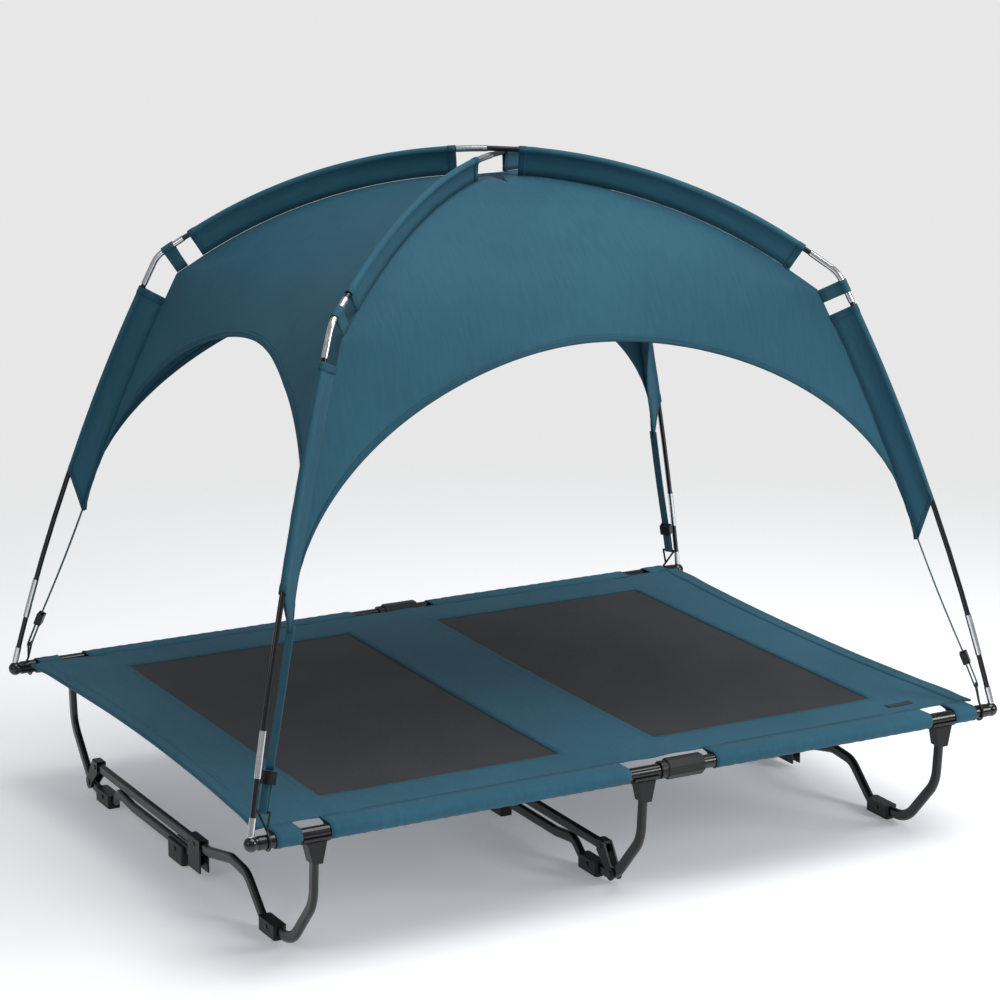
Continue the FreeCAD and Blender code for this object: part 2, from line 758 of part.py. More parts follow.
def lower_rods(track, end):
    """The rod from the elbow to the straight ferrule, and the one below it."""
    mid = track.place_at_height(rail_height + straight_ferrule_height)
    below_elbow = track.elbow_end - rod_insert
    first = pipe(track.edges(end, below_elbow, mid - rod_end_gap / 2), pole_dia / 2, pole_bore / 2)
    last_end = track.length - tip_length + rod_insert / 2
    second = pipe(track.edges(end, mid + rod_end_gap / 2, last_end), pole_dia / 2, pole_bore / 2)
    return [first, second]


def tip(track, end):
    """Bright tip of a pole with the upright peg that drops into the knob."""
    start = track.length - tip_length
    stop = track.length - body_gap * 2
    cap = sweep(track.edges(end, start, stop), ferrule_dia / 2)
    room = sweep(track.edges(end, start, start + rod_insert / 2), pole_dia / 2 + fit_gap)
    foot = track.point(end, stop)
    seat = Vec(foot.x, foot.y, rail_height + knob_dia / 2 + body_gap)
    above = rod(seat - Vec(0, 0, ferrule_dia), seat, ferrule_dia)
    peg_top = Vec(*on_diagonal(end, corner_reach, seat.z + peg_root))
    peg_bottom = Vec(*on_diagonal(end, corner_reach, rail_height + knob_dia / 2 - peg_depth))
    return cap.cut(room).cut(above).fuse(rod(peg_bottom, peg_top, peg_dia / 2))


# ================================================================ canopy
def canopy_corner(track):
    """Place along the track of the canopy's lowest corner."""
    return track.place_at_height(rail_height + corner_drop, fin_depth)


def strip_face(track, corner, inner, outer, start, end):
    """Thin face in a diagonal plane, between two insets of the pole's track."""
    near = track.edges(corner, start, end, inner)
    far = track.edges(corner, start, end, outer)
    caps = [Part.makeLine(track.point(corner, start, inner), track.point(corner, start, outer)),
            Part.makeLine(track.point(corner, end, inner), track.point(corner, end, outer))]
    return Part.Face(Part.Wire(Part.__sortEdges__(near + far + caps)))


def arch_prism(half_width, base, rise, along):
    """Arched opening, half an ellipse on a straight-sided foot, carried along one axis."""
    level = Vec(1, 0, 0) if along == "y" else Vec(0, 1, 0)
    reach = Vec(0, 1, 0) if along == "y" else Vec(1, 0, 0)
    centre = Vec(0, 0, base)
    side = level * half_width
    top = Vec(0, 0, rise)
    if half_width > rise:
        ellipse = Part.Ellipse(centre + side, centre + top, centre)
        curve = Part.Arc(ellipse, 0, math.pi).toShape()
    else:
        ellipse = Part.Ellipse(centre + top, centre - side, centre)
        curve = Part.Arc(ellipse, -math.pi / 2, math.pi / 2).toShape()
    low = [centre + side - top, centre - side - top]
    sides = [Part.makeLine(centre - side, low[1]),
             Part.makeLine(low[1], low[0]),
             Part.makeLine(low[0], centre + side)]
    face = Part.Face(Part.Wire([curve] + sides))
    return face.extrude(reach * corner_span_x)


def wedge(first, second):
    """Upright wedge between two corners' diagonal planes."""
    far = 2 * corner_reach
    points = [Vec(0, 0, 0), on_diagonal(first, far, 0), on_diagonal(second, far, 0)]
    return prism(points, Vec(0, 0, 2 * crown_height))


def build_canopy(track):
    """Four taut panels, each curved one way, meeting over the diagonals."""
    end = canopy_corner(track)
    reach, height, _ = track.locate(end, fin_depth)
    base = height - arch_foot_drop
    long_side = arch_prism(reach * diagonal_cos - arch_margin, base, arch_rise_long, "y")
    short_side = arch_prism(reach * diagonal_sin - arch_margin, base, arch_rise_short, "x")
    strip = strip_face(track, "rear_left", fin_depth, fin_depth + panel_skin, 0.0, end)
    rear = strip.extrude(Vec(corner_span_x * 2, 0, 0))
    rear = rear.common(wedge("rear_left", "rear_right")).cut(long_side)
    strip = strip_face(track, "front_right", fin_depth, fin_depth + panel_skin, 0.0, end)
    right = strip.extrude(Vec(0, corner_span_x * 2, 0))
    right = right.common(wedge("front_right", "rear_right")).cut(short_side)
    for name, opposite, shape in (("rear", "front", rear), ("right", "left", right)):
        turned = shape.copy()
        turned.rotate(Vec(0, 0, 0), Vec(0, 0, 1), 180)
        save("canopy_" + name, shape)
        save("canopy_" + opposite, turned)


def fin(track, corner, start, end, depth_track, bore, wall, skin):
    """Flat double cloth from the pole to the seam, with its tunnel round the pole."""
    shift = off_diagonal(corner) * (skin / 2)
    edge = bore + wall / 2
    near = track.edges(corner, start, end, edge)
    far = depth_track.edges(corner, start, end, fin_depth)
    caps = [Part.makeLine(track.point(corner, place, edge), depth_track.point(corner, place, fin_depth))
            for place in (start, end)]
    face = Part.Face(Part.Wire(Part.__sortEdges__(near + far + caps)))
    face.translate(shift * -1)
    plate = face.extrude(shift * 2)
    return pipe(track.edges(corner, start, end), bore + wall, bore).fuse(plate)


def build_fins(tracks):
    """Upper and lower pole sleeves, and the webbing loop at each elbow."""
    seam = tracks["over"]
    upper, lower, loops = [], [], []
    bore = pole_dia / 2 + sleeve_bore_gap
    for pole, ends in poles.items():
        track = tracks[pole]
        for corner in ends:
            upper_end = track.elbow_start - upper_fin_short
            past_ferrule = crown_ferrule_from + crown_ferrule_length + ferrule_room
            first = upper_fin_from if corners[corner][0] > 0 else past_ferrule
            upper.append(fin(track, corner, first, upper_end, seam, bore, sleeve_skin, fin_skin))
            lower_start = track.elbow_end + lower_fin_short
            lower_end = track.place_at_height(rail_height + lower_fin_drop)
            lower.append(fin(track, corner, lower_start, lower_end, seam, bore, sleeve_skin, fin_skin))
            side = -1 if corners[corner][0] < 0 else 1
            middle = track.elbow_middle + side * loop_setback
            start = middle - loop_width / 2
            end = middle + loop_width / 2
            loop_bore = ferrule_dia / 2 + sleeve_bore_gap
            loops.append(fin(track, corner, start, end, seam, loop_bore, loop_skin, 2 * loop_skin))
    save("pole_sleeves_upper", group(upper))
    save("pole_sleeves_lower", group(lower))
    save("elbow_loops", group(loops))


# ================================================================ straps
def strap_line(track, corner):
    """Canopy corner, slider middle and hook eye of one corner strap."""
    sx, sy = corners[corner]
    reach, height, _ = track.locate(canopy_corner(track), fin_depth)
    top = on_diagonal(corner, reach, height)
    eye = Vec(sx * (half_x - hook_inset), sy * (half_y - hook_lean), rail_height + hook_eye_rise)
    share = (slider_rise - hook_eye_rise) / (top.z - eye.z)
    return top, eye + (top - eye) * share, eye


def ribbon(start, end, across, width, thick):
    """Flat webbing between two points."""
    along = end - start
    flat = across - along * (across.dot(along) / along.dot(along))
    flat.normalize()
    depth = along.cross(flat).normalize()
    low = start - flat * (width / 2) - depth * (thick / 2)
    points = [low, low + flat * width, low + flat * width + depth * thick, low + depth * thick]
    return prism(points, along)


def web_loop(start, end, across):
    """Doubled webbing from the slider bar round the hook's eye."""
    inner = hook_wire / 2 + body_gap
    outer = slot_bar(start, end, across, web_width, inner + web)
    return outer.cut(slot_bar(start, end, across, web_width + 2, inner))


def slot_bar(start, end, across, width, radius):
    """Flat bar with round ends, laid between two cross bars."""
    flat = across - (end - start) * (across.dot(end - start) / (end - start).dot(end - start))
    flat.normalize()
    body = ribbon(start, end, flat, width, 2 * radius)
    for point in (start, end):
        body = body.fuse(rod(point - flat * (width / 2), point + flat * (width / 2), radius))
    return body


def hook(corner, eye, across):
    """Bent wire: a three-sided eye, a short shank and a hook round the rail."""
    sx, sy = corners[corner]
    wire = hook_wire / 2
    centre = Vec(sx * (half_x - hook_inset), sy * half_y, rail_height)
    radius = rail_radius + body_gap + wire
    turn = math.radians(hook_mouth)

    def around(angle):
        """Point of the hook's round, from level outside and downwards."""
        return centre + Vec(0, sy * radius * math.cos(angle), -radius * math.sin(angle))

    first = around(-turn)
    last = around(math.pi - turn / 2)
    throat = Vec(centre.x, centre.y + sy * wire, rail_top + 3 * wire)
    half = across * (hook_eye_wide / 2)
    bend = Part.Arc(first, around(math.pi / 2 - turn / 2), last).toShape()
    piece = sweep([bend], wire)
    for a, b in ((first, throat), (throat, eye - half), (throat, eye + half), (eye - half, eye + half)):
        piece = piece.fuse(rod(a, b, wire))
    for joint in (first, throat, eye - half, eye + half, last):
        piece = piece.fuse(Part.makeSphere(wire, joint))
    return piece


def slider(middle, along, across):
    """Adjuster: a frame round the doubled webbing, with a bar between its layers."""
    width, tall = slider_size
    step = along * (tall / 2)
    room = 2 * (hook_wire / 2 + 2 * body_gap + web)
    frame = ribbon(middle - step, middle + step, across, width, room + 2 * slider_wall)
    frame = frame.cut(ribbon(middle - step * 2, middle + step * 2, across, width - 2 * slider_wall, room))
    flat = across * (width / 2 - slider_wall / 2)
    return frame.fuse(rod(middle - flat, middle + flat, slider_bar / 2))


def build_straps(tracks):
    """Webbing, sliders, loops and hooks that pull the canopy down to the rails."""
    upper = []
    track = tracks["over"]
    for corner in corners:
        top, middle, eye = strap_line(track, corner)
        along = (top - eye).normalize()
        across = off_diagonal(corner)
        across = (across - along * across.dot(along)).normalize()
        half_slider = slider_size[1] / 2
        loop_top = middle + along * (half_slider / 2)
        upper.append(ribbon(middle + along * (half_slider + strap_gap), top, across, web_width, web))
        save("strap_slider_" + corner, slider(middle, along, across))
        save("strap_loop_" + corner, web_loop(loop_top, eye, across))
        save("strap_hook_" + corner, hook(corner, eye, across))
        print("strap", corner, "length %.1f" % (top - eye).Length, "along", [round(c, 4) for c in along])
    save("corner_straps", group(upper))


def main():
    """Build and save every node."""
    build_rails()
    save("corner_knobs", group([knob(c) for c in corners.values()]))
    save("bed_cover", bed_cover())
    save("mesh_panels", group([window(side) for side in (-1, 1)]))
    save("rail_sleeves", group([rail_sleeve(side) for side in (-1, 1)]))
    save("bed_tab", plain_tab())
    build_legs()
    tracks = build_tracks()
    build_poles(tracks)
    build_canopy(tracks["over"])
    build_fins(tracks)
    build_straps(tracks)


main()
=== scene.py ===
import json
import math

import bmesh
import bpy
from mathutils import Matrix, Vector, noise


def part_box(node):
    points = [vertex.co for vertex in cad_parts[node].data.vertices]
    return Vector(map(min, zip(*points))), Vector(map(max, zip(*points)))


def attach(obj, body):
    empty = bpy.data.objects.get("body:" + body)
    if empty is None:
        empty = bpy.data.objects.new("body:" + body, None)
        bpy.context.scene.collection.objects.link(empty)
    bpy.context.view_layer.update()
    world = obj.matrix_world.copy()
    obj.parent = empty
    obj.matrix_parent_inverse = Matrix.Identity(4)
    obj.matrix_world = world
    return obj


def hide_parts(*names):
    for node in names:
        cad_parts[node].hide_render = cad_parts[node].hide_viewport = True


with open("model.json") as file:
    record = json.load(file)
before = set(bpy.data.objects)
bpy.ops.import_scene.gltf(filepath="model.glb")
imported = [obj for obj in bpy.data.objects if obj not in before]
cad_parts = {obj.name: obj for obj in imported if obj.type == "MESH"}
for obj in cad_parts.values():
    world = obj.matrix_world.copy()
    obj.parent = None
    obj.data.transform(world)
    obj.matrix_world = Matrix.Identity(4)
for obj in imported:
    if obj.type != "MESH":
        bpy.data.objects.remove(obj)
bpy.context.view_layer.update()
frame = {"nodes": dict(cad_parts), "record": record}

# %% [markdown]
# # A raised dog bed with a sunshade
# The cell above loaded the imported design: rails, legs, poles, clips and hooks. Nothing there is moved
# or reshaped here. This lesson adds what a design model leaves out: sewn cloth, webbing, thread, and a
# real finish on every part.
# First come the tools of the whole lesson, and the size of the design before anything is added.

nodes = frame["nodes"]

# %% [markdown]
# ## Measuring the frame
# The cloth has to meet the rails and poles, so its sizes are read from the design's own nodes:
# the rail ends give the plan, the poles give the height. Only what no node shows, such as how deep
# a pole sleeve is, is written here as a named size, in metres.

# %% Sizes read from the frame, and the sewn sizes
knob_low, knob_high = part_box("corner_knobs")
rail_low, rail_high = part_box("rail_front_left")
RAIL_R = (rail_high.y - rail_low.y) / 2
RAIL_Z = (rail_high.z + rail_low.z) / 2
KNOB_R = knob_high.z - RAIL_Z
HALF_Y = -(rail_high.y + rail_low.y) / 2
HALF_X = knob_high.x - KNOB_R
DECK_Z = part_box("bed_cover")[1].z
POLE_R = 0.00395
CROWN_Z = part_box("pole_over_rods")[1].z - POLE_R
REACH = math.hypot(HALF_X, HALF_Y)
COS_D, SIN_D = HALF_X / REACH, HALF_Y / REACH
FIN_DEPTH = 0.038          # pole axis to canopy seam
ELBOW_INSET = 0.246
CROWN_RISE = 0.173
ELBOW_LEGS = (0.050, 0.048)
ELBOW_R = 0.046
LOWER_TURN = math.radians(11.2)
UNDER_DROP = CROWN_Z - (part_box("pole_under_rods")[1].z - POLE_R)
CORNER_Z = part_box("canopy_front")[0].z
CORNERS = {"front_left": (-1, -1), "front_right": (1, -1), "rear_left": (-1, 1), "rear_right": (1, 1)}
POLE_OF = {"rear_left": "over", "front_right": "over", "front_left": "under", "rear_right": "under"}
print("rails at y = +-%.3f, z = %.3f; crown at z = %.3f" % (HALF_Y, RAIL_Z, CROWN_Z))

# %% [markdown]
# ## Camera, light and floor
# A long lens from a little above the deck flattens the perspective, as in a catalogue picture.
# The light is a large soft box overhead and two at the sides, so that black tubes get long calm
# highlights and the cloth keeps its weave. The floor is plain and pale.

# %% Camera
AZIMUTH, ELEVATION, LENS = math.radians(-28.54), math.radians(14.23), 115.1
CAMERA_PLACE = Vector((-2.237, -4.136, 1.687))
camera_data = bpy.data.cameras.new("camera")
camera_data.lens = LENS
camera_data.sensor_width = 36.0
camera_data.clip_end = 60.0
camera = bpy.data.objects.new("camera", camera_data)
bpy.context.scene.collection.objects.link(camera)
camera.location = CAMERA_PLACE
backwards = Vector((math.sin(AZIMUTH) * math.cos(ELEVATION), -math.cos(AZIMUTH) * math.cos(ELEVATION),
                    math.sin(ELEVATION)))
camera.rotation_euler = (-backwards).to_track_quat("-Z", "Y").to_euler()
bpy.context.scene.camera = camera


# %% Lights and sky
def soft_box(name, place, aim, size, power):
    """A large square lamp that looks at a point."""
    data = bpy.data.lights.new(name, "AREA")
    data.shape = "SQUARE"
    data.size = size
    data.energy = power
    lamp = bpy.data.objects.new(name, data)
    lamp.location = place
    lamp.rotation_euler = (Vector(aim) - Vector(place)).to_track_quat("-Z", "Y").to_euler()
    bpy.context.scene.collection.objects.link(lamp)


soft_box("light_top", (0.6, -0.8, 3.6), (0, 0, 0.4), 2.6, 92)
soft_box("light_left", (-3.4, -1.2, 1.9), (0, 0, 0.5), 1.2, 10)
soft_box("light_right", (2.6, -3.2, 2.0), (0, 0, 0.4), 1.4, 66)
world = bpy.data.worlds.new("studio")
bpy.context.scene.world = world
world.use_nodes = True
sky = world.node_tree.nodes["Background"]
sky.inputs["Color"].default_value = (0.95, 0.97, 1.0, 1)
sky.inputs["Strength"].default_value = 0.34
backdrop = world.node_tree.nodes.new("ShaderNodeBackground")
backdrop.inputs["Strength"].default_value = 1.0
seen = world.node_tree.nodes.new("ShaderNodeLightPath")
either = world.node_tree.nodes.new("ShaderNodeMixShader")
world.node_tree.links.new(seen.outputs["Is Camera Ray"], either.inputs["Fac"])
world.node_tree.links.new(sky.outputs["Background"], either.inputs[1])
world.node_tree.links.new(backdrop.outputs["Background"], either.inputs[2])
world.node_tree.links.new(either.outputs["Shader"], world.node_tree.nodes["World Output"].inputs["Surface"])
bpy.context.scene.view_settings.view_transform = "Standard"

# %% [markdown]
# ## Shader maths as plain expressions
# A material is a small formula. Wrapping a socket in a class that knows +, -, * and / lets the
# formula be written as one, and each sign adds its own Math node. Every other node comes from one
# method, `node`, which sets the node's own settings first and then its inputs.


# %% A socket that does arithmetic, and a maker of nodes
class Value:
    """One number socket of a material."""

    def __init__(self, finish, socket):
        self.finish = finish
        self.socket = socket

    def maths(self, operation, *values):
        """Add one Math node."""
        return self.finish.node("ShaderNodeMath", {"operation": operation}, dict(enumerate(values)))

    def __add__(self, other):
        return self.maths("ADD", self, other)

    def __sub__(self, other):
        return self.maths("SUBTRACT", self, other)

    def __mul__(self, other):
        return self.maths("MULTIPLY", self, other)

    def __truediv__(self, other):
        return self.maths("DIVIDE", self, other)

    def __rsub__(self, other):
        return self.maths("SUBTRACT", other, self)

    def __pow__(self, other):
        return self.maths("POWER", self, other)

    __radd__ = __add__
    __rmul__ = __mul__

    def sine(self):
        """Sine of the value."""
        return self.maths("SINE", self)

    def size(self):
        """The value without its sign."""
        return self.maths("ABSOLUTE", self)

    def above(self, edge):
        """One where the value is above the edge."""
        return self.maths("GREATER_THAN", self, edge)

    def smooth(self, low, high):
        """A soft step from 0 to 1."""
        share = self.finish.node("ShaderNodeMapRange", {"interpolation_type": "SMOOTHSTEP"},
                                 {0: self, 1: low, 2: high, 3: 0.0, 4: 1.0})
        return share


class Finish:
    """A material with one Principled surface."""

    def __init__(self, name, **sockets):
        self.material = bpy.data.materials.new(name)
        self.material.use_nodes = True
        self.tree = self.material.node_tree
        self.surface = self.tree.nodes["Principled BSDF"]
        for key, value in sockets.items():
            self.surface.inputs[key.replace("_", " ")].default_value = value

    def node(self, kind, settings, values, output=0):
        """Add a node: its settings first, then the value or link of each input."""
        made = self.tree.nodes.new(kind)
        for key, value in settings.items():
            setattr(made, key, value)
        for key, value in values.items():
            if isinstance(value, Value):
                self.tree.links.new(value.socket, made.inputs[key])
            else:
                made.inputs[key].default_value = value
        return Value(self, made.outputs[output])

    def ramp(self, factor, stops):
        """Colour ramp; stops are (place, colour)."""
        made = self.tree.nodes.new("ShaderNodeValToRGB")
        while len(made.color_ramp.elements) < len(stops):
            made.color_ramp.elements.new(0.5)
        for element, (place, colour) in zip(made.color_ramp.elements, stops):
            element.position = place
            element.color = (*colour, 1)
        self.tree.links.new(factor.socket, made.inputs["Fac"])
        return Value(self, made.outputs["Color"])

    def place(self, source="Object"):
        """Object coordinates, or the piece's own UV map, as three values."""
        made = self.tree.nodes.new("ShaderNodeTexCoord")
        self.vector = Value(self, made.outputs[source])
        return [self.node("ShaderNodeSeparateXYZ", {}, {0: self.vector}, k) for k in range(3)]

    def noise(self, scale, detail=3.0, stretch=None):
        """Soft noise from 0 to 1, stretched along an axis if asked."""
        vector = self.vector
        if stretch:
            vector = self.node("ShaderNodeMapping", {}, {0: self.vector, 3: stretch})
        return self.node("ShaderNodeTexNoise", {}, {"Vector": vector, "Scale": scale, "Detail": detail})

    def feed(self, **links):
        """Link values into the surface."""
        for key, value in links.items():
            self.tree.links.new(value.socket, self.surface.inputs[key.replace("_", " ")])

    def bump(self, height, distance, strength=1.0):
        """Bump node into the normal."""
        made = self.node("ShaderNodeBump", {}, {"Strength": strength, "Distance": distance, "Height": height})
        self.feed(Normal=made)


FINISHES = {}
print("shader helpers ready")

# %% [markdown]
# ## Cloth finishes
# Coated polyester is a plain weave: one thread over, one under. Two sine waves across the piece's
# own UV map, which is laid out in metres, give the threads at their real pitch. The colour drifts a
# little where the dye and the coating vary, and raised threads catch slightly more light.


# %% Woven cloth
def woven(name, deep, light, pitch, relief, roughness, sheen, broad=3.0):
    """Plain-weave coated cloth on a UV map in metres."""
    finish = Finish(name, Sheen_Weight=sheen, Sheen_Roughness=0.4, Specular_IOR_Level=0.18)
    u, v, _ = finish.place("UV")
    turn = 2 * math.pi / pitch
    warp = (u * turn).sine()
    weft = (v * turn).sine()
    over = (warp * weft + 1.0) * 0.5
    threads = warp.size() * over + weft.size() * (1.0 - over)
    drift = finish.noise(broad, 4.0)
    slub = finish.noise(220.0, 2.0, (1.0, 0.08, 1.0))
    tone = drift * 0.55 + slub * 0.25 + threads * 0.20
    finish.feed(Base_Color=finish.ramp(tone, [(0.30, deep), (0.72, light)]))
    finish.feed(Roughness=roughness + (1.0 - threads) * 0.10 + (drift - 0.5) * 0.10)
    finish.bump(threads * 0.8 + slub * 0.5, relief)
    FINISHES[name] = finish.material


TEAL_DEEP, TEAL_LIGHT = (0.013, 0.066, 0.102), (0.027, 0.118, 0.172)
woven("canopy_cloth", TEAL_DEEP, TEAL_LIGHT, 0.0011, 0.00012, 0.60, 0.06)
woven("oxford_cloth", (0.015, 0.072, 0.112), (0.030, 0.128, 0.188), 0.0016, 0.00022, 0.64, 0.05)
woven("hem_cloth", (0.010, 0.054, 0.086), (0.022, 0.098, 0.146), 0.0011, 0.00015, 0.62, 0.05)
woven("tab", (0.020, 0.021, 0.024), (0.060, 0.061, 0.065), 0.0012, 0.0002, 0.75, 0.05)


# %% Webbing and mesh
def webbing():
    """Narrow woven tape: ribs across its width, and fine cords along its length."""
    finish = Finish("webbing", Sheen_Weight=0.05, Sheen_Roughness=0.5, Specular_IOR_Level=0.2)
    u, v, _ = finish.place("UV")
    ribs = ((v * (2 * math.pi / 0.0022)) + (u * (2 * math.pi / 0.0040)).sine() * 1.3).sine()
    cords = (u * (2 * math.pi / 0.0025)).sine().size()
    weave = (ribs + 1.0) * 0.32 + cords * 0.36
    drift = finish.noise(40.0, 3.0)
    tone = weave * 0.7 + drift * 0.3
    finish.feed(Base_Color=finish.ramp(tone, [(0.25, (0.012, 0.062, 0.090)), (0.8, (0.030, 0.125, 0.170))]))
    finish.feed(Roughness=0.60 + (1.0 - weave) * 0.2)
    finish.bump(weave, 0.0004)
    FINISHES["webbing"] = finish.material


def deck_mesh():
    """Coated open mesh: round yarns in pairs, with the gaps between them darkened as painted shade."""
    finish = Finish("mesh", Specular_IOR_Level=0.22)
    u, v, _ = finish.place("UV")
    pitch = 0.0024
    turn = 2 * math.pi / pitch
    warp = (u * turn).sine().size()
    weft = (v * turn).sine().size()
    yarn = warp.maths("MAXIMUM", warp, weft)
    # painted shade: the open gaps between the yarns are darkened in the colour, standing in for the shade seen through
    # the holes of the mesh; the same mask also makes the gaps rougher
    gap = 1.0 - yarn.smooth(0.35, 0.75)
    over = ((u * (turn / 2)).sine() * (v * (turn / 2)).sine() + 1.0) * 0.5
    drift = finish.noise(9.0, 4.0)
    fleck = finish.noise(900.0, 2.0)
    tone = drift * 0.25 + fleck * 0.35 + over * 0.25 + yarn * 0.15 - gap * 0.5
    finish.feed(Base_Color=finish.ramp(tone, [(0.08, (0.010, 0.010, 0.012)), (0.45, (0.034, 0.035, 0.039)),
                                              (0.85, (0.072, 0.073, 0.080))]))
    finish.feed(Roughness=0.58 + gap * 0.3)
    finish.bump(yarn * 0.8 + over * 0.5, 0.00035)
    FINISHES["mesh"] = finish.material


webbing()
deck_mesh()
print("cloth finishes:", sorted(FINISHES))

# %% [markdown]
# ## Hard finishes
# Powder coat is glossy but never perfectly flat: a soft fine ripple breaks up its highlights, and
# handling leaves faint dull patches. Moulded plastic has an even sparkle from the mould. Drawn
# steel has fine lines round it and small differences in polish.


# %% Painted tubes, plastics and bright steel
def coated(name, colour, roughness, ripple_scale, ripple, coat=0.0, scuff=0.12):
    """Paint or moulded plastic with a fine surface ripple and faint scuffs."""
    finish = Finish(name, Coat_Weight=coat, Coat_Roughness=0.10, Specular_IOR_Level=0.35)
    finish.place()
    patches = finish.noise(14.0, 5.0)
    grain = finish.noise(ripple_scale, 2.0)
    dust = patches.smooth(0.52, 0.78)
    light = tuple(c * 2.2 + 0.002 for c in colour)
    finish.feed(Base_Color=finish.ramp(dust * 0.7 + grain * 0.3, [(0.1, colour), (0.95, light)]))
    finish.feed(Roughness=roughness + dust * scuff + (grain - 0.5) * 0.06)
    finish.bump(grain, ripple)
    FINISHES[name] = finish.material


def bright(name, colour, roughness):
    """Drawn steel with fine rings along its length."""
    finish = Finish(name, Metallic=1.0)
    finish.place()
    rings = finish.noise(60.0, 3.0, (1.0, 1.0, 14.0))
    patches = finish.noise(35.0, 4.0)
    dark = tuple(c * 0.72 for c in colour)
    finish.feed(Base_Color=finish.ramp(rings * 0.5 + patches * 0.5, [(0.25, dark), (0.75, colour)]))
    finish.feed(Roughness=roughness + rings * 0.14 + patches.smooth(0.5, 0.8) * 0.12)
    finish.bump(rings, 0.00008)
    FINISHES[name] = finish.material


coated("rail_tube", (0.004, 0.004, 0.0045), 0.20, 260.0, 0.00006, coat=0.25)
coated("leg_tube", (0.0045, 0.0045, 0.005), 0.24, 220.0, 0.00009, coat=0.2)
coated("bracket_steel", (0.006, 0.006, 0.0065), 0.34, 300.0, 0.00010)
coated("fixing_steel", (0.020, 0.020, 0.022), 0.32, 200.0, 0.00004)
coated("black_plastic", (0.005, 0.005, 0.0055), 0.38, 900.0, 0.00010)
coated("gloss_plastic", (0.003, 0.003, 0.0035), 0.14, 90.0, 0.00003, coat=0.5, scuff=0.08)
coated("pole_rod", (0.004, 0.004, 0.0045), 0.22, 180.0, 0.00004, coat=0.3)
coated("hook_wire", (0.005, 0.005, 0.005), 0.30, 240.0, 0.00005, coat=0.2)
coated("elastic_cord", (0.45, 0.45, 0.46), 0.7, 600.0, 0.0002)
coated("thread", (0.028, 0.105, 0.145), 0.55, 1500.0, 0.00005)
bright("bright_steel", (0.80, 0.80, 0.82), 0.14)
for node_name, node in nodes.items():
    slot_name = next(s["material_slot"] for s in frame["record"]["subparts"] if s["node"] == node_name)
    finish = FINISHES[slot_name]
    node.data.materials.clear()
    node.data.materials.append(finish)
print("every carried-over node has its finish")

# %% [markdown]
# ## The line of a pole
# Each half pole is a chain of straight runs and arcs: a wide arc over the top, a sharp elbow, and a
# lower rod that bows slightly under load. Walking that chain gives the pole's axis, and walking it
# a fixed distance inside gives the seam where the canopy hangs from its sleeves.


# %% Pole track
class Track:
    """Axis of half a pole, from the crown outwards, as (length, turn) steps."""

    def __init__(self, crown):
        self.crown = crown
        reach, height = REACH - ELBOW_INSET, CROWN_Z - CROWN_RISE
        low, high = 0.0, math.pi / 2
        for _ in range(60):
            upper = (low + high) / 2
            run = reach - ELBOW_LEGS[0] * math.cos(upper)
            rise = height + ELBOW_LEGS[0] * math.sin(upper) + run * math.tan(upper / 2)
            low, high = (upper, high) if rise < crown else (low, upper)
        lower = math.pi / 3
        for _ in range(40):
            drop = height - ELBOW_LEGS[1] * math.sin(lower) - RAIL_Z - KNOB_R
            out = ELBOW_INSET - ELBOW_LEGS[1] * math.cos(lower)
            lower = math.atan2(drop, out) - LOWER_TURN / 2
        lower_radius = math.hypot(drop, out) / (2 * math.sin(LOWER_TURN / 2))
        setback = ELBOW_R * math.tan((lower - upper) / 2)
        self.steps = [(run / math.sin(upper) * upper, upper), (ELBOW_LEGS[0] - setback, 0.0),
                      (ELBOW_R * (lower - upper), lower - upper), (ELBOW_LEGS[1] - setback, 0.0),
                      (lower_radius * LOWER_TURN, LOWER_TURN)]
        self.ends = [sum(s[0] for s in self.steps[:k + 1]) for k in range(len(self.steps))]

    def at(self, place, inset=0.0):
        """Reach and height at a place along the axis; below zero is the other half."""
        reach, height, heading, passed = 0.0, self.crown - inset, 0.0, 0.0
        for length, turn in self.steps:
            share = min(1.0, max(0.0, (abs(place) - passed) / length))
            if turn:
                radius = length / turn - inset
                ahead = heading + share * turn
                reach += radius * (math.sin(ahead) - math.sin(heading))
                height += radius * (math.cos(ahead) - math.cos(heading))
                heading = ahead
            else:
                reach += share * length * math.cos(heading)
                height -= share * length * math.sin(heading)
            passed += length
            if abs(place) <= passed:
                break
        return math.copysign(reach, place), height

    def down_to(self, height, inset=0.0):
        """Place where the track comes down to a height."""
        low, high = 0.0, self.ends[-1]
        for _ in range(50):
            middle = (low + high) / 2
            low, high = (middle, high) if self.at(middle, inset)[1] > height else (low, middle)
        return middle


TRACKS = {"over": Track(CROWN_Z), "under": Track(CROWN_Z - UNDER_DROP)}
SEAM = TRACKS["over"]
SEAM_END = SEAM.down_to(CORNER_Z, FIN_DEPTH)
print("half pole is %.3f m long; the seam ends %.3f m from the crown" % (SEAM.ends[-1], SEAM_END))


def over_corner(corner, reach, height):
    """Point over the line from the centre to a corner."""
    sx, sy = CORNERS[corner]
    return Vector((sx * reach * COS_D, sy * reach * SIN_D, height))
